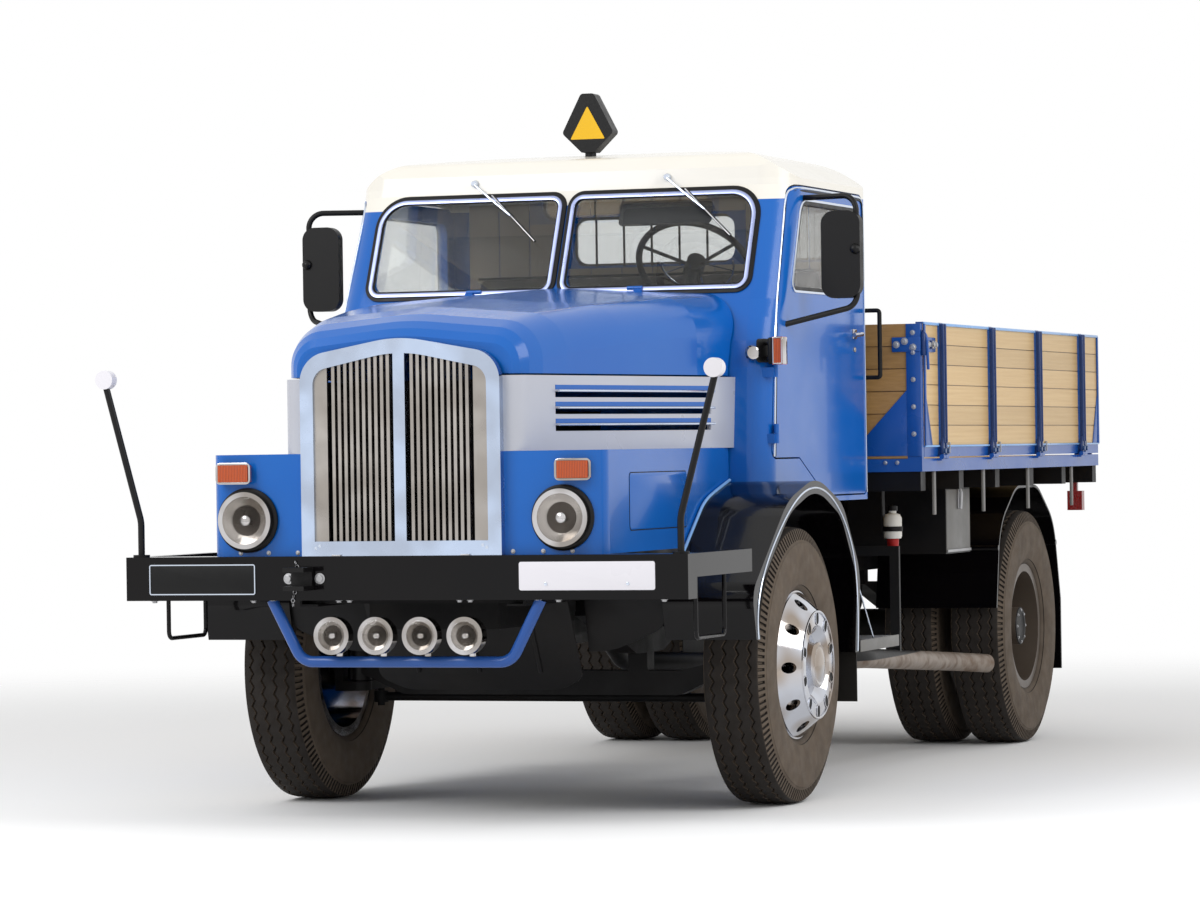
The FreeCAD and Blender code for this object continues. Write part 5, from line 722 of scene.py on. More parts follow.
class OBJECT_OT_truck_bonnet(bpy.types.Operator):
    """Build the louvres' lips with a blue band of painted reflection above each, the nose's hatches with a
    black ring of painted seam shadow, fastenings and rings, the bonnet's rim and the beads, the seam's bead a
    pale painted highlight
    """
    bl_idname = "object.truck_bonnet"
    bl_label = "Bonnet trim"

    def execute(self, context):
        low, front, rear = 1.404, -2.68, -1.63
        ends = [(bonnet_side_x(y) + 0.0155, y, low + 0.023) for y in (front - 0.003, rear + 0.003)]
        lip = tube("chrome trim", ends, 0.0045)
        # a blue strip above each lip on the silver panel is a painted reflection of the recess
        corners = upright((bonnet_side_x(front), front, low + 0.0275),
                          (bonnet_side_x(rear), rear, low + 0.044))
        band = plate("cab enamel", corners, 0.0, (0.0015, 0.0, 0.0))
        fitted("louvre_lips", both(spread([lip, band], [(0.0, 0.0, 0.06), (0.0, 0.0, 0.12)])))

        gap, low, high = 0.0035, Vector((0.748, -2.618, 1.047)), Vector((0.748, -1.98, 1.255))
        inset = Vector((0.0, gap, gap))
        # a black ring round the hatch is its painted seam shadow
        seam = plate("dark seam", upright(low, high), 0.02, (0.0008, 0.0, 0.0), rim=gap)
        hatch = plate("cab enamel", upright(low + inset, high - inset), 0.02 - gap, (0.0022, 0.0, 0.0),
                      0.0012)
        fitted("nose_hatches", both([seam, hatch]))

        heads = [bolt((x, -2.8912, 0.984), AHEAD, 0.0055) for x in (0.41, 0.523, 0.632)]
        heads += [bolt((x, -2.9252, z), AHEAD, 0.004, "chrome trim", 8)
                  for x, z in ((0.325, 1.0), (0.31, 1.008))]
        heads.append(block("bolt steel", (0.228, -2.935, 0.972), (0.262, -2.9, 0.977), 0.001))
        fitted("nose_fastenings", both(heads))

        ring = turned("seal rubber", [(0.0, 0.116), (0.008, 0.116), (0.014, 0.108), (0.014, 0.1), (0.0, 0.1),
                                      (0.0, 0.116)], (HEADLAMP[0], -2.894, HEADLAMP[2]), 48, AHEAD)
        fitted("lamp_rings", both([ring]))

        bezels = [plate("lamp chrome", upright((0.578, -2.9165, 1.23), (0.714, -2.9165, 1.308)), 0.018,
                        (0.0, -0.006, 0.0), 0.002, 0.009),
                  plate("lamp chrome", upright((0.928, -1.4805, 1.647), (0.966, -1.4805, 1.749)), 0.006,
                        (0.0, -0.002, 0.0), 0.0008, 0.0045),
                  block("lamp chrome", (0.9665, -1.481, 1.6475), (0.9695, -1.424, 1.7485), 0.0012)]
        fitted("signal_bezels", both(bezels))

        outline = [(x, -2.8755, z) for x, z in (
            (-0.4, 1.609), (-0.4, 1.701), (0.0, 1.745), (0.4, 1.701), (0.4, 1.609),
            (0.366, 1.609), (0.366, 1.664), (0.0, 1.73), (-0.366, 1.664), (-0.366, 1.609))]
        rim = plate("cab enamel", outline, [0.0, 0.07, 0.15, 0.07, 0.0] * 2, (0.0, 0.003, 0.0), segments=8)
        fitted("hood_rim", [rim], "hood")

        seam = [(0.758, y, z) for y, z in ((-2.2, 0.852), (-1.9, 1.072), (-1.8, 1.143), (-1.62, 1.187),
                                           (-1.5, 1.214))]
        arch = [(1.0805, y, z) for y, z in ((-2.18, 0.645), (-2.225, 0.805), (-1.79, 1.12), (-1.44, 1.205),
                                            (-1.105, 1.095), (-0.892, 0.84), (-0.928, 0.545))]
        # the seam's pale bead is a painted highlight line
        beads = [tube("bed edge", seam, 0.006, 3), tube("chrome trim", arch, 0.004, 3)]
        fitted("fender_beads", both(beads))
        return {"FINISHED"}


# Bumper


BUMPER_FACE = -2.9285


class OBJECT_OT_truck_bumper(bpy.types.Operator):
    """Build the bumper's bolts, the tow pin's keeper chain, and black splash guards behind the bumper and
    along the frame that stand for dark underparts and partly for painted shade
    """
    bl_idname = "object.truck_bumper"
    bl_label = "Bumper fittings"

    def execute(self, context):
        heads = [bolt((x, -2.9, 0.8152), DOWN, 0.009) for x in (0.21, 0.25, 0.505, 0.58, 0.97)]
        fitted("bumper_bolts", both(heads))

        chain = [bolt((x, BUMPER_FACE - 0.0005, 0.893), AHEAD, 0.013, sides=10) for x in (-0.43, -0.31)]
        link = [(-0.0012, 0.0065), (0.0, 0.0078), (0.0012, 0.0065), (0.0, 0.0052), (-0.0012, 0.0065)]
        for number in range(11):
            share = number / 10
            place = (-0.402 + 0.012 * math.sin(share * 5.0), -2.934, 0.95 - 0.15 * share)
            chain.append(turned("bolt steel", link, place, 12, (0.0, 1.0, 0.0) if number % 2 else OUT))
        fitted("tow_keeper", chain)

        # black sheets where the underside is dark: splash guards standing for the parts behind the bumper
        # and, partly, painted shade
        paint = "chassis paint"
        apron = [(-0.4, -2.34, 0.83), (0.4, -2.34, 0.83), (0.4, -2.16, 0.5), (0.3, -2.13, 0.455),
                 (-0.3, -2.13, 0.455), (-0.4, -2.16, 0.5)]
        guards = [plate(paint, apron, [0.0, 0.0, 0.03, 0.03, 0.03, 0.03], (0.0, 0.006, 0.003), 0.002)]
        guards += [tube(paint, [(x, -2.33, 0.81), (x, -2.175, 0.525)], 0.009) for x in (-0.24, 0.0, 0.24)]
        corner = [(0.43, -2.24, 0.84), (0.74, -2.24, 0.84), (0.74, -2.2, 0.69), (0.52, -2.18, 0.6),
                  (0.43, -2.18, 0.6)]
        tray = [(0.398, y, z) for y, z in (
            (-1.02, 0.86), (1.45, 0.86), (1.45, 0.62), (0.3, 0.54), (-1.02, 0.5))]
        guards += both([plate(paint, corner, [0.0, 0.0, 0.05, 0.05, 0.0], (0.0, 0.004, 0.0), 0.0015),
                        plate(paint, tray, [0.0, 0.0, 0.04, 0.06, 0.03], (0.004, 0.0, 0.0), 0.0015)])
        fitted("splash_guards", guards)
        return {"FINISHED"}


# Bed


SIDE_FRONT, SIDE_REAR = -0.012, 2.987
SIDE_BOARDS_FACE = 1.104
SIDE_TOP = 1.826


def strap(along):
    """A pressed channel on a drop side, with its flared foot and two bolts at the hinge."""
    # the straps' dark blue is painted shade
    out, low, high, half = 1.1122, 1.292, 1.83, 0.023
    pieces = [plate("strap enamel", upright((out, along - half, low + 0.055), (out, along + half, high)), 0.0,
                    (0.003, 0.0, 0.0), 0.001)]
    for edge in (-1, 1):
        outer, inner = along + edge * half, along + edge * (half - 0.012)
        flange = upright((out, min(outer, inner), low + 0.05), (out, max(outer, inner), high))
        pieces.append(plate("strap enamel", flange, 0.0, (0.019, 0.0, 0.0), 0.005, edge_segments=3))
        spread_to = along + edge * (half + 0.017)
        foot = [(out, outer - edge * 0.012, low + 0.075), (out, outer, low + 0.075),
                (out, spread_to, low + 0.028), (out, spread_to, low), (out, spread_to - edge * 0.03, low)]
        pieces.append(plate("strap enamel", foot, [0.0, 0.0, 0.008, 0.008, 0.0], (0.014, 0.0, 0.0), 0.004))
    return pieces + [bolt((out + 0.013, along + edge * 0.026, low + 0.018), OUT, 0.011, "strap steel", 8)
                     for edge in (-1, 1)]


class OBJECT_OT_truck_bed(bpy.types.Operator):
    """Build the drop sides' straps, clips and hasps, the headboard's corner latches and the brackets"""
    bl_idname = "object.truck_bed"
    bl_label = "Bed fittings"

    def execute(self, context):
        first, reach = -0.014, 2.957
        places = [first + share * reach + 0.023 for share in (0.075, 0.344, 0.616, 0.886)]
        members = spread(strap(places[0]), [(0.0, place - places[0], 0.0) for place in places[1:]])
        face, low = SIDE_BOARDS_FACE + 0.0002, 1.332
        for end, inward in ((-0.0135, 1), (2.988, -1)):
            gusset = [(face, end, low), (face, end, 1.55), (face, end + inward * 0.02, 1.55),
                      (face, end + inward * 0.115, low)]
            post = upright((face, end, low), (face, end + inward * 0.018, SIDE_TOP))
            members += [plate("bed enamel", gusset, 0.0, (0.004, 0.0, 0.0), 0.0012),
                        plate("bed enamel", post, 0.0, (0.008, 0.0, 0.0), 0.002)]
        clip = block("bolt steel", (SIDE_BOARDS_FACE, 0.34, 1.3), (1.1165, 0.346, 1.345), 0.0015)
        members += spread([clip], [(0.0, along, 0.0) for along in (0.82, 1.63, 2.38)])
        # pale strips along the boards' top and bottom edges are painted highlight
        for bottom, top in ((1.326, 1.334), (1.822, 1.8335)):
            members.append(block("bed edge", (SIDE_BOARDS_FACE, SIDE_FRONT, bottom), (1.1115, SIDE_REAR, top),
                                 0.002))
        # the hasp's dark plate is painted shade
        members += [block("bed enamel", (1.1035, -0.008, 1.712), (1.1125, 0.15, 1.772), 0.004),
                    block("strap enamel", (1.1125, 0.06, 1.724), (1.121, 0.13, 1.76), 0.004)]
        members += [bolt((x, along, 1.742), OUT, 0.01)
                    for x, along in ((1.1125, 0.02), (1.1125, 0.043), (1.121, 0.075), (1.121, 0.112))]
        fitted_sides("side_straps", members, "side")

        front = -0.0505
        web = [(0.8, front, 1.292), (0.83, front, 1.33), (1.046, front, 1.56), (1.046, front, 1.292)]
        corner = [plate("bed enamel", upright((1.044, front, 1.29), (1.103, front, SIDE_TOP)), 0.0,
                        (0.0, -0.004, 0.0), 0.0012),
                  plate("bed enamel", web, 0.0, (0.0, -0.003, 0.0), 0.001)]
        corner += [bolt((1.073, front - 0.0042, z), AHEAD, 0.007, sides=8)
                   for z in (1.38, 1.49, 1.6, 1.71, 1.79)]
        corner += [bolt((x, front - 0.0006, 1.265), AHEAD, 0.006, sides=8) for x in (0.95, 1.0)]
        # the corner pin's dark blue is painted shade
        corner.append(turned("strap enamel", [(-0.045, 0.0), (-0.045, 0.012), (-0.04, 0.0145), (0.04, 0.0145),
                                              (0.045, 0.012), (0.052, 0.006), (0.058, 0.006), (0.058, 0.0)],
                             (1.112, -0.034, 1.742), 20, UP))
        corner.append(tube("bed enamel", [(1.112, -0.034, 1.79), (1.126, -0.036, 1.785), (1.13, -0.04, 1.72),
                                          (1.13, -0.03, 1.64)], 0.006, 3))
        corner.append(block("bed enamel", (0.985, -0.0585, 1.712), (1.106, -0.0495, 1.772), 0.004))
        corner += [bolt((x, -0.0585, z), AHEAD, 0.01)
                   for x, z in ((1.005, 1.742), (1.04, 1.755), (1.075, 1.73))]
        fitted("bed_corners", both(corner))

        bracket = block("bracket paint", (1.085, 0.16, 1.05), (1.0945, 0.19, 1.236), 0.002)
        brackets = spread([bracket], [(0.0, along, 0.0) for along in (0.78, 1.54, 2.34)])
        fitted("bed_brackets", both(brackets))
        return {"FINISHED"}


# Cab trim


def door_trim():
    """The left door's bright strip with a black tube beside it as its painted shadow, handle, lock and rear
    edge, and the mirror's face.
    """
    points = [on_side(-1.398 + (z - 1.3) * 0.08, z, 0.001) for z in (1.3, 1.4, 1.5, 1.6, 1.69)]
    points += [on_side(-1.376 + (z - 1.7) * 0.4504, z, 0.001) for z in (1.78, 1.9, 2.0, 2.1, 2.2, 2.28)]
    points += [on_side(along, z, 0.001) for along, z in (
        (-1.092, 2.318), (-1.055, 2.332), (-0.98, 2.334), (-0.6, 2.334), (-0.25, 2.334), (-0.195, 2.328),
        (-0.182, 2.28), (-0.181, 2.0))]
    # a black tube beside the bright strip: its painted shadow
    shade = [(x, along + (0.011 if along < -1.06 else -0.011 if along < -0.2 and z < 2.3 else 0.0),
              z - (0.01 if z > 2.3 else 0.0)) for x, along, z in points]
    lever = [(0.91, -0.32, 1.782), (0.935, -0.32, 1.782), (0.945, -0.33, 1.781), (0.946, -0.38, 1.778),
             (0.942, -0.44, 1.775)]
    lock = [(0.0, 0.011), (0.004, 0.011), (0.006, 0.009), (0.0035, 0.006), (0.0035, 0.0)]
    joint = [(-0.02, 0.0), (-0.018, 0.01), (-0.01, 0.018), (0.0, 0.0205), (0.01, 0.018), (0.018, 0.01),
             (0.02, 0.0)]
    return [tube("chrome trim", points, 0.0045, 3), tube("seal rubber", shade, 0.0045, 3),
            block("lamp chrome", (0.904, -0.345, 1.762), (0.911, -0.293, 1.802), 0.003),
            tube("lamp chrome", lever, 0.0085, 3, 4), turned("lamp chrome", lock, (0.905, -0.32, 1.72), 20),
            tube("chrome trim", [(0.9065, -0.1735, 1.15), (0.9065, -0.1735, 2.3)], 0.003),
            plate("lamp chrome", upright((1.01, -1.0315, 1.913), (1.15, -1.0315, 2.227)), 0.04,
                  (0.0, 0.0015, 0.0)),
            turned("seal rubber", joint, (1.138, -1.078, 2.09), 16)]


def wiper(shift):
    """A wiper that hangs from its spindle above the screen: arm, blade, blade's back and spindle."""
    def on_screen(x, z, out):
        return (x + shift, screen_y(x + shift, z) - out, z)
    blade = ((0.481, 2.337), (0.585, 2.243), (0.688, 2.149))
    arm = [on_screen(0.401, 2.386, 0.02), on_screen(0.45, 2.345, 0.034), on_screen(0.572, 2.255, 0.022)]
    return [tube("chrome trim", arm, 0.0045, 3),
            tube("seal rubber", [on_screen(x, z, 0.012) for x, z in blade], 0.0055),
            tube("bolt steel", [on_screen(x, z, 0.019) for x, z in blade], 0.003),
            turned("chrome trim", [(0.0, 0.015), (0.014, 0.013), (0.024, 0.008), (0.024, 0.0)],
                   on_screen(0.401, 2.386, 0.002), 16, AHEAD)]


class OBJECT_OT_truck_cab(bpy.types.Operator):
    """Build the doors' strips and handles, the wipers, rails and brackets, and the cab's lining"""
    bl_idname = "object.truck_cab"
    bl_label = "Cab trim"

    def execute(self, context):
        fitted_sides("door_trim", door_trim(), "door")

        rail = [(x, -0.148, z) for x, z in (
            (0.902, 1.88), (0.935, 1.88), (0.962, 1.88), (0.962, 1.853), (0.962, 1.745), (0.962, 1.637),
            (0.962, 1.61), (0.935, 1.61), (0.902, 1.61))]
        mount = [tube("seal rubber", rail, 0.009, 3),
                 block("seal rubber", (0.908, -1.4775, 1.648), (0.9275, -1.427, 1.748), 0.006, 3),
                 plate("seal rubber", upright((0.868, -1.445, 1.655), (0.902, -1.4, 1.745)), 0.012,
                       (-0.012, -0.009, 0.0), 0.002)]
        mount += [tube("seal rubber", [(0.885, -1.42, z), (0.895, -1.445, z), (0.915, -1.452, z)], 0.007, 3)
                  for z in (1.672, 1.726)]
        fitted("cab_hardware", [*wiper(0.0), *wiper(-0.798), *both(mount)],
               nodes=("cab_fittings",))
        profile = [(0.0, 0.016), (0.012, 0.014), (0.016, 0.026), (0.03, 0.03), (0.044, 0.024), (0.05, 0.0)]
        knob = turned("lamp chrome", profile, (0.826, -1.425, 1.692), 24, (0.5, -0.866, 0.0))
        fitted("cowl_knob", both([knob]))

        boards, count, width, gap, foot, top = [], 12, 0.134, 0.0015, 1.2, 2.355
        for number in range(count):
            left = (number - count / 2) * width
            behind_window = abs(left + width / 2) < 0.4
            for low, high in ([(foot, 2.082), (2.302, top)] if behind_window else [(foot, top)]):
                corners = (left + gap, -0.152, low), (left + width - gap, -0.144, high)
                boards.append(block("cab lining", *corners, 0.003))
        boards += [tube("seal rubber", [(x, -0.155, 2.085), (x, -0.155, 2.3)], 0.005)
                   for x in (-0.24, -0.12, 0.0, 0.12, 0.24)]
        fitted("cab_lining", boards)

        visor = [(0.2, -1.14, 2.2), (0.2, -1.1, 2.29), (0.58, -1.1, 2.29), (0.58, -1.14, 2.2)]
        hub, turn = Vector((0.432, -0.9, 2.046)), Matrix.Rotation(math.radians(-48), 4, "X")

        def on_wheel(angle, reach):
            return hub + turn @ Vector((reach * math.cos(angle), reach * math.sin(angle), 0.03))
        ring, root = 0.15, 0.02
        arc = [on_wheel(math.pi * number / 24, ring) for number in range(25)]
        controls = [plate("dash plastic", visor, 0.02, (0.0, 0.008, 0.0), 0.003),
                    tube("chrome trim", arc, 0.004, 3)]
        controls += [tube("chrome trim", [on_wheel(angle, root), on_wheel(angle, ring)], 0.003)
                     for angle in map(math.radians, (20, 90, 160))]
        fitted("cab_controls", controls)
        return {"FINISHED"}


# Seats


def cushion(low, high, swell):
    """A padded block blown up by the cloth solver, with each point's move held to the swell, then sewn."""
    pad = modified(block("leathercloth", low, high, 0.035, 4), "REMESH", mode="VOXEL", voxel_size=0.012)
    cloth = pad.modifiers.new("cover", "CLOTH")
    cloth.settings.use_pressure = True
    cloth.settings.uniform_pressure_force = 4.0
    cloth.settings.effector_weights.gravity = 0.0
    cloth.point_cache.frame_end = 20
    for number in range(1, 21):
        bpy.context.scene.frame_set(number)
    blown = pad.evaluated_get(bpy.context.evaluated_depsgraph_get())
    places = [vertex.co.copy() for vertex in blown.data.vertices]
    pad.modifiers.clear()
    bpy.context.scene.frame_set(1)
    for vertex, place in zip(pad.data.vertices, places):
        move = place - vertex.co
        vertex.co += move * min(1.0, swell / max(move.length, 0.00001))
    modified(pad, "SUBSURF", levels=1, render_levels=1)
    middle = (Vector(low) + Vector(high)) / 2

    def sewn(spot):
        # channels 125 mm apart, pressed in by the thread
        wave = abs(math.sin(spot.x / 0.125 * math.pi))
        inward = (middle - spot) * Vector((0.0, 1.0, 1.0))
        return spot + inward.normalized() * 0.007 * (1 - wave) ** 3
    return dressed(bent_to(pad, sewn), "leathercloth")


class OBJECT_OT_truck_seats(bpy.types.Operator):
    """Build the padded bench: seat cushion, back cushion, piping and the box under them"""
    bl_idname = "object.truck_seats"
    bl_label = "Seats"

    def execute(self, context):
        for name, low, high in (("seat_cushion", (-0.742, -0.662, 1.447), (0.742, -0.272, 1.585)),
                                ("back_cushion", (-0.742, -0.252, 1.6), (0.742, -0.162, 2.055))):
            pad = fitted(name, [cushion(low, high, 0.014)], "truck", smooth=60)
        piping = [tube("seal rubber", [(-0.72, y, z), (0.72, y, z)], 0.006)
                  for y, z in ((-0.672, 1.575), (-0.262, 2.045))]
        box = block("dash plastic", (-0.75, -0.575, 1.165), (0.75, -0.27, 1.448), 0.012)
        fitted("seat_box", [box, *piping], nodes=("cab_seats",))
        return {"FINISHED"}


# Wheel fittings


class OBJECT_OT_truck_wheels(bpy.types.Operator):
    """Build the front covers' chrome-ringed black ovals, painted shade that stands for holes, their caps, and
    the rear wheels' nuts and hub caps
    """
    bl_idname = "object.truck_wheels"
    bl_label = "Wheel fittings"

    def execute(self, context):
        face = 1.0932
        centre = (face, *FRONT_WHEEL[1:])
        # the covers' oval holes are black plates of painted shade, each in a chrome ring
        hole_shade = plate("dark seam", upright((face, -1.517, 0.671), (face, -1.483, 0.715)), 0.0165,
                     (0.0006, 0.0, 0.0))
        rim = plate("wheel chrome", upright((face, -1.5205, 0.667), (face, -1.4795, 0.719)), 0.02,
                    (0.003, 0.0, 0.0), 0.0012, 0.004)
        dome = [(0.0, 0.086), (0.006, 0.084), (0.011, 0.075), (0.009, 0.07), (0.0095, 0.062), (0.014, 0.05),
                (0.0165, 0.03), (0.017, 0.0)]
        lip = [(0.0, 0.2035), (0.004, 0.203), (0.0055, 0.199), (0.004, 0.195), (0.0, 0.1945)]
        covers = set_round(hole_shade, FRONT_WHEEL, 10) + set_round(rim, FRONT_WHEEL, 10)
        covers += [turned("wheel chrome", dome, centre, 48), turned("wheel chrome", lip, centre, 64)]
        fitted_sides("cover_trim", covers, "front_wheel")

        y, z = REAR_WHEEL[1:]
        cap = [(0.0, 0.084), (0.004, 0.082), (0.006, 0.06), (0.003, 0.055), (0.0035, 0.0)]
        # the nuts share the rim's darkened paint, painted shade
        nuts = set_round(bolt((0.8395, y, z + 0.142), OUT, 0.016, "rim paint", 3), REAR_WHEEL, 10)
        nuts.append(turned("chassis paint", cap, (0.9592, y, z), 40))
        nuts += set_round(bolt((0.9625, y, z + 0.07), OUT, 0.006), REAR_WHEEL, 8)
        fitted_sides("rear_nuts", nuts, "rear_wheels")
        return {"FINISHED"}


# Side equipment


class OBJECT_OT_truck_equipment(bpy.types.Operator):
    """Build the steps' treads and rods, the tool box's lid and latch, the bottle and the tail lamps' rims"""
    bl_idname = "object.truck_equipment"
    bl_label = "Side equipment"

    def execute(self, context):
        bar = block("bolt steel", (0.815, -0.79, 0.576), (1.045, -0.782, 0.579), 0.001)
        step = spread([bar], [(0.0, 0.058 * row, 0.0) for row in range(1, 9)])
        step += [block("bracket paint", (1.054, -0.81, 0.535), (1.0595, -0.269, 0.58), 0.002),
                 tube("chrome trim", [(1.05, -1.0, 1.0), (1.05, -0.6, 0.577)], 0.0035)]
        fitted("step_fittings", both(step))

        box = [block("bracket paint", (0.948, 0.862, 0.878), (0.953, 1.238, 1.144), 0.002),
               block("bolt steel", (0.953, 0.862, 0.878), (0.958, 1.238, 0.89), 0.002),
               block("bolt steel", (0.953, 1.03, 1.06), (0.962, 1.06, 1.15), 0.003),
               tube("bolt steel", [(0.963, 1.045, 1.15), (0.97, 1.045, 1.13), (0.966, 1.045, 1.06)], 0.006)]
        box += [bolt((0.4302, along, 0.88), OUT, 0.014, "chassis paint", 8)
                for along in (0.33, 0.56, 0.8, 1.05)]
        fitted("tool_box_fittings", box)

        flask = [(-0.03, 0.0), (-0.03, 0.034), (-0.02, 0.038), (0.055, 0.038), (0.07, 0.03), (0.075, 0.016),
                 (0.09, 0.016), (0.09, 0.0)]
        cap = [(0.085, 0.0), (0.085, 0.021), (0.105, 0.02), (0.108, 0.0)]
        neck = [(-0.03, 0.0), (-0.03, 0.026), (-0.075, 0.022), (-0.085, 0.01), (-0.1, 0.008), (-0.1, 0.0)]
        band = [(0.0, 0.0385), (0.0, 0.0415), (0.02, 0.0415), (0.02, 0.0385), (0.0, 0.0385)]
        bottle = [turned(finish, profile, (0.86, 0.356, 0.98), steps, UP) for finish, profile, steps in (
            ("bottle plastic", flask, 24), ("seal rubber", cap, 20), ("red hose", neck, 20),
            ("chassis paint", band, 32))]
        strip = block("chassis paint", (0.815, 0.335, 0.96), (0.822, 0.377, 1.3), 0.002)
        fitted("side_bottle", [*bottle, strip])

        lens = block("red lens", (0.972, 2.987, 1.03), (1.028, 2.9935, 1.1), 0.003)
        rim = plate("seal rubber", upright((0.966, 2.9885, 1.022), (1.034, 2.9885, 1.11)), 0.006,
                    (0.0, 0.003, 0.0), 0.001, 0.006)
        fitted("tail_lamp_rims", both([lens, rim]))
        return {"FINISHED"}


# Plates and sign


class OBJECT_OT_truck_plates(bpy.types.Operator):
    """Build the blank plates on the bumper and the sign's yellow triangle"""
    bl_idname = "object.truck_plates"
    bl_label = "Plates and sign"

    def execute(self, context):
        def flat(finish, low, high, y, thick, edge=0.0, rim=0.0):
            corners = upright((low[0], y, low[1]), (high[0], y, high[1]))
            return plate(finish, corners, 0.008, (0.0, -thick, 0.0), edge, rim, 4)
        face = BUMPER_FACE - 0.003
        dark = [flat("sign black", (-0.975, 0.836), (-0.56, 0.945), BUMPER_FACE, 0.003, 0.001),
                flat("chrome trim", (-0.975, 0.836), (-0.56, 0.945), face, 0.0012, 0.0, 0.004)]
        fitted("dark_plate", dark)
        pale = [flat("plate white", (0.445, 0.848), (0.948, 0.948), BUMPER_FACE, 0.003, 0.001)]
        pale += [turned("chrome trim", [(0.0, 0.006), (0.002, 0.006), (0.003, 0.003), (0.003, 0.0)],
                        (x, face, 0.87), 12, AHEAD) for x in (0.545, 0.848)]
        fitted("pale_plate", pale)
        triangle = [(-0.072, -0.913, 2.56), (0.0, -0.913, 2.69), (0.072, -0.913, 2.56)]
        face = plate("sign yellow", triangle, 0.006, (0.0, -0.002, 0.0), segments=3)
        fitted("sign_face", [face])
        return {"FINISHED"}


# Finishes on the CAD nodes


FINISH_OF_SLOT = {
    "body_blue": "cab enamel", "roof_ivory": "roof enamel", "panel_silver": "silver enamel",
    "gloss_black": "fender enamel", "chassis_black": "chassis paint", "cast_black": "cast iron",
    "trim_black": "seal rubber", "equipment_black": "equipment paint", "grille_polish": "polished aluminium",
    "lamp_chrome": "lamp chrome", "wheel_chrome": "wheel chrome", "rim_silver": "rim paint",
    "tyre_rubber": "tyre rubber", "flap_rubber": "flap rubber", "cab_glazing": "window glass",
    "lens_clear": "lens glass", "lens_orange": "orange lens", "lens_red": "red lens",
    "marker_white": "plate white", "sign_black": "sign black", "bar_blue": "bar enamel",
    "bed_wood": "varnished boards", "headboard_brown": "shaded boards", "bed_navy": "bed enamel",
    "exhaust_steel": "exhaust steel", "seat_fabric": "leathercloth", "dash_black": "dash plastic",
}
FINISH_OF_NODE = {"cab_shell": "two-tone enamel", "grille_slats": "slat metal"}


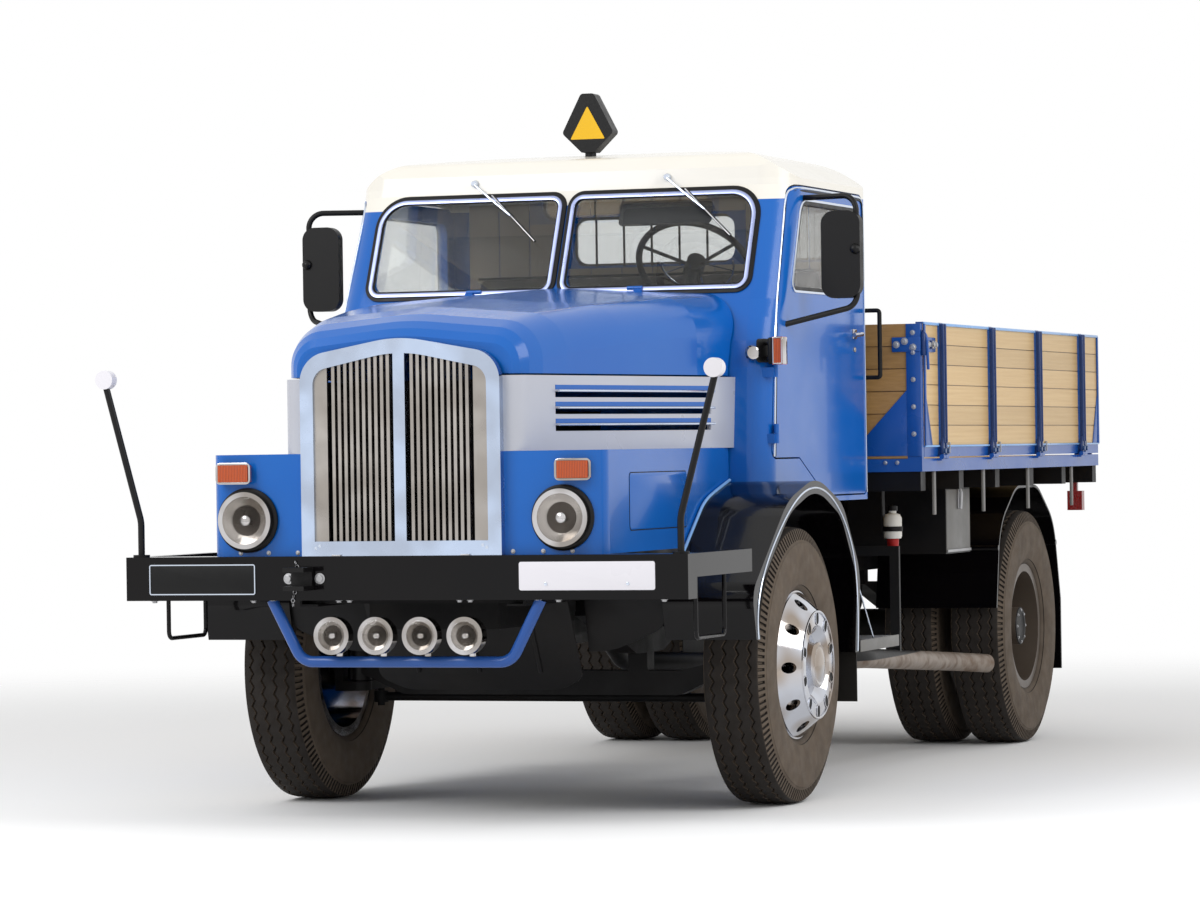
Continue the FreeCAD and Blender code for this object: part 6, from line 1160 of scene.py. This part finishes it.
class OBJECT_OT_truck_finishes(bpy.types.Operator):
    """Make every finish and lay it on the CAD nodes"""
    bl_idname = "object.truck_finishes"
    bl_label = "Finishes"

    def execute(self, context):
        paint = context.scene.truck_paint
        blue, ivory = tuple(paint.cab), tuple(paint.roof)
        gloss_enamel("cab enamel", blue, "1D66B6")
        gloss_enamel("two-tone enamel", blue, "1D66B6", above=(2.334, ivory))
        gloss_enamel("roof enamel", ivory, "D9D4C8")
        gloss_enamel("silver enamel", tuple(paint.bonnet_side), "A9A9AE", 0.3, 0.25)
        gloss_enamel("fender enamel", "060507", "120E0D", 0.14, shine=0.12)
        gloss_enamel("bar enamel", tuple(paint.lamp_bar), "2A4E86", 0.3)
        gloss_enamel("bed enamel", "124E9E", "2C5288", 0.3)
        # a dark, shaded copy of the bed's blue enamel: painted shade
        gloss_enamel("strap enamel", "0F2F66", "1E3C68", 0.28)
        gloss_enamel("strap steel", "33507E", "55585E", 0.3, 0.4)
        # a pale, lit copy of the bed's blue enamel: painted highlight
        gloss_enamel("bed edge", "7FADE2", "7C9CC4", 0.3)
        # the wheels' silver paint darkened to brown: painted shade in the deep wheel dish
        gloss_enamel("rim paint", "544A41", "3C332B", 0.45, 0.1)
        gloss_enamel("plate white", "DEDCE2", "CFCBCB", 0.3)
        gloss_enamel("sign yellow", "E9B600", "CF9C00", 0.35)
        satin_paint("chassis paint", "09080A", "1C1815")
        satin_paint("cast iron", "0C0B0C", "221D19", 0.6)
        satin_paint("equipment paint", "0D0D0F", "25211E", 0.4)
        satin_paint("bracket paint", "6F6E6C", "86827C", 0.4)
        satin_paint("cab lining", "B9AC9A", "A89A88", 0.6)
        # polished aluminium: its pale blue base and clouds are a painted sky reflection
        bright_metal("polished aluminium", "C3D2EA", 0.16, 0.004, 0.00003, "B4BFD2")
        bright_metal("slat metal", "ABA6A1", 0.24, 0.004, 0.00003, "9B958F")
        # lamp chrome is greyed with darker clouds, a painted dark reflection; the reflector chrome is darker
        # still, also painted reflection, and the throat's shaded chrome is painted shade
        bright_metal("lamp chrome", "CDCBCC", 0.05, 0.01, 0.00002, "A09A95")
        bright_metal("reflector chrome", "AAA49F", 0.1, 0.02, 0.00002, "655D55")
        bright_metal("shaded chrome", "4A443F", 0.2, 0.02, 0.00002, "2C2723")
        # wheel chrome: the bluish base and warm brown clouds are painted reflections of sky and ground
        bright_metal("wheel chrome", "C9CCD4", 0.06, 0.012, 0.00004, "A2968B")
        bright_metal("chrome trim", "D3DCEA", 0.1, 0.006, 0.00002)
        bright_metal("screen trim", "A3ADD4", 0.22, 0.006, 0.00002)
        bright_metal("bolt steel", "B0B0B2", 0.3, 0.004, 0.00004)
        road_rubber("tyre rubber", "151211", "5F5347")
        moulded_rubber("flap rubber", "161310", 0.65)
        # black sheets that stand for the shade in seams and holes: painted shadow
        moulded_rubber("dark seam", "08080A", 0.6)
        moulded_rubber("seal rubber", "0A090A", 0.42)
        moulded_rubber("dash plastic", "1B1B1E", 0.5)
        moulded_rubber("sign black", "050506", 0.35)
        moulded_rubber("bottle plastic", "D8D6D0", 0.4)
        moulded_rubber("red hose", "A3201E", 0.4)
        clear_sheet("window glass", "E6F0EE", 0.0, 0.3)
        clear_sheet("lens glass", "E9E9E6", 0.0, 0.28)
        # the lenses' faint emission is a painted glow
        lens_plastic("orange lens", "D2560C", "8E3305", 0.06)
        lens_plastic("red lens", "A5100B", "5E0503", 0.05)
        varnished_boards("varnished boards", tuple(paint.boards), "BD9862", "4A3A28", 1.332, 0.0823)
        varnished_boards("shaded boards", "AE8650", "8C673A", "3A2C1E", 1.28, 0.091)
        leathercloth("leathercloth", "4A4038", "352D28")
        hot_steel("exhaust steel", "8A7F75", "64503F", "0C0B0C")
        for name, node in frame["nodes"].items():
            dressed(node, FINISH_OF_NODE.get(name, FINISH_OF_SLOT[SLOT_OF[name]]))
        return {"FINISHED"}


# Stage


CAMERA_PLACE = (6.1015, -17.9028, 1.3361)
CAMERA_YAW, CAMERA_ROLL, CAMERA_DIP = -0.343109466, -0.0148759, 0.0001
CAMERA_LENS = 137.42
LAMPS = (((-4.0, -7.5, 6.0), 330.0), ((6.5, -3.0, 5.0), 200.0))


class OBJECT_OT_truck_stage(bpy.types.Operator):
    """Build the pale floor, the soft studio light and the camera"""
    bl_idname = "object.truck_stage"
    bl_label = "Stage"

    def execute(self, context):
        scene = context.scene
        bpy.ops.object.select_all(action="DESELECT")
        bpy.ops.mesh.primitive_circle_add(vertices=64, radius=14.0, fill_type="NGON")
        floor = bpy.context.object
        floor.name = "studio_floor"
        tree, place = new_finish("studio floor")
        distance = add(tree, "ShaderNodeVectorMath", {0: place}, operation="LENGTH")
        fade = add(tree, "ShaderNodeMapRange", {"Value": distance.outputs["Value"], "From Min": 4.5,
                                                "From Max": 11.0}, interpolation_type="SMOOTHSTEP")
        clear = add(tree, "ShaderNodeBsdfTransparent", {})
        matt = add(tree, "ShaderNodeBsdfDiffuse", {"Color": "FBFBFB"})
        mixed = add(tree, "ShaderNodeMixShader", {0: fade.outputs["Result"], 1: matt.outputs["BSDF"],
                                                  2: clear.outputs["BSDF"]})
        add(tree, "ShaderNodeOutputMaterial", {"Surface": mixed.outputs["Shader"]})
        floor.data.materials.append(finishes["studio floor"])

        # the sky is full white where it is seen, mirrored or looked through, and dimmer as a light
        scene.world = bpy.data.worlds.new("studio")
        scene.world.use_nodes = True
        sky = scene.world.node_tree
        sky.nodes.clear()
        rays = add(sky, "ShaderNodeLightPath", {})
        seen = rays.outputs["Is Camera Ray"]
        for kind in ("Is Glossy Ray", "Is Transmission Ray"):
            seen = add(sky, "ShaderNodeMath", {0: seen, 1: rays.outputs[kind]}, operation="MAXIMUM")
            seen = seen.outputs["Value"]
        level = add(sky, "ShaderNodeMapRange", {"Value": seen, "To Min": 0.72, "To Max": 1.0})
        light = add(sky, "ShaderNodeBackground", {"Color": "FFFFFF", "Strength": level.outputs["Result"]})
        add(sky, "ShaderNodeOutputWorld", {"Surface": light.outputs["Background"]})
        for place, power in LAMPS:
            bpy.ops.object.light_add(type="AREA", location=place)
            lamp = bpy.context.object
            lamp.data.size = 4.0
            lamp.data.energy = power
            aim = Vector((0.0, -1.0, 1.2)) - Vector(place)
            lamp.rotation_euler = aim.to_track_quat("-Z", "Y").to_euler()

        bpy.ops.object.camera_add()
        camera = bpy.context.object
        forward = Vector((math.sin(CAMERA_YAW), math.cos(CAMERA_YAW), -CAMERA_DIP)).normalized()
        right = forward.cross(Vector(UP)).normalized()
        up = right.cross(forward)
        tilted_right = right * math.cos(CAMERA_ROLL) + up * math.sin(CAMERA_ROLL)
        tilted_up = up * math.cos(CAMERA_ROLL) - right * math.sin(CAMERA_ROLL)
        turn = Matrix((tilted_right, tilted_up, -forward)).transposed().to_4x4()
        camera.matrix_world = Matrix.Translation(CAMERA_PLACE) @ turn
        camera.data.lens = CAMERA_LENS
        camera.data.clip_end = 200.0
        scene.camera = camera
        scene.view_settings.view_transform = "Standard"
        return {"FINISHED"}


class VIEW3D_PT_truck(bpy.types.Panel):
    """The truck's panel in the sidebar"""
    bl_label = "Decorated truck"
    bl_idname = "VIEW3D_PT_truck"
    bl_space_type = "VIEW_3D"
    bl_region_type = "UI"
    bl_category = "Truck"

    def draw(self, context):
        for group in (context.scene.truck_paint, context.scene.truck_sizes):
            box = self.layout.box()
            for name in group.bl_rna.properties.keys():
                if name not in ("rna_type", "name"):
                    box.prop(group, name)
        for step in STEPS:
            self.layout.operator(step.bl_idname)


STEPS = (OBJECT_OT_truck_stage, OBJECT_OT_truck_finishes, OBJECT_OT_truck_tyres, OBJECT_OT_truck_lamps,
         OBJECT_OT_truck_seals, OBJECT_OT_truck_bonnet, OBJECT_OT_truck_bumper, OBJECT_OT_truck_bed,
         OBJECT_OT_truck_cab, OBJECT_OT_truck_seats, OBJECT_OT_truck_wheels, OBJECT_OT_truck_equipment,
         OBJECT_OT_truck_plates)
CLASSES = (TruckPaint, TruckSizes, *STEPS, VIEW3D_PT_truck)


def register():
    for item in CLASSES:
        bpy.utils.register_class(item)
    bpy.types.Scene.truck_paint = bpy.props.PointerProperty(type=TruckPaint)
    bpy.types.Scene.truck_sizes = bpy.props.PointerProperty(type=TruckSizes)


def unregister():
    del bpy.types.Scene.truck_sizes
    del bpy.types.Scene.truck_paint
    for item in reversed(CLASSES):
        bpy.utils.unregister_class(item)


def main():
    """Register the classes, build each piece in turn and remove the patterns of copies."""
    register()
    bpy.ops.object.truck_stage()
    bpy.ops.object.truck_finishes()
    bpy.ops.object.truck_tyres()
    bpy.ops.object.truck_lamps()
    bpy.ops.object.truck_seals()
    bpy.ops.object.truck_bonnet()
    bpy.ops.object.truck_bumper()
    bpy.ops.object.truck_bed()
    bpy.ops.object.truck_cab()
    bpy.ops.object.truck_seats()
    bpy.ops.object.truck_wheels()
    bpy.ops.object.truck_equipment()
    bpy.ops.object.truck_plates()
    for spare in [thing for thing in bpy.data.objects if thing.type == "MESH" and not body_of(thing)]:
        if not spare.name.startswith("studio"):
            bpy.data.objects.remove(spare)


if __name__ == "__main__":
    main()
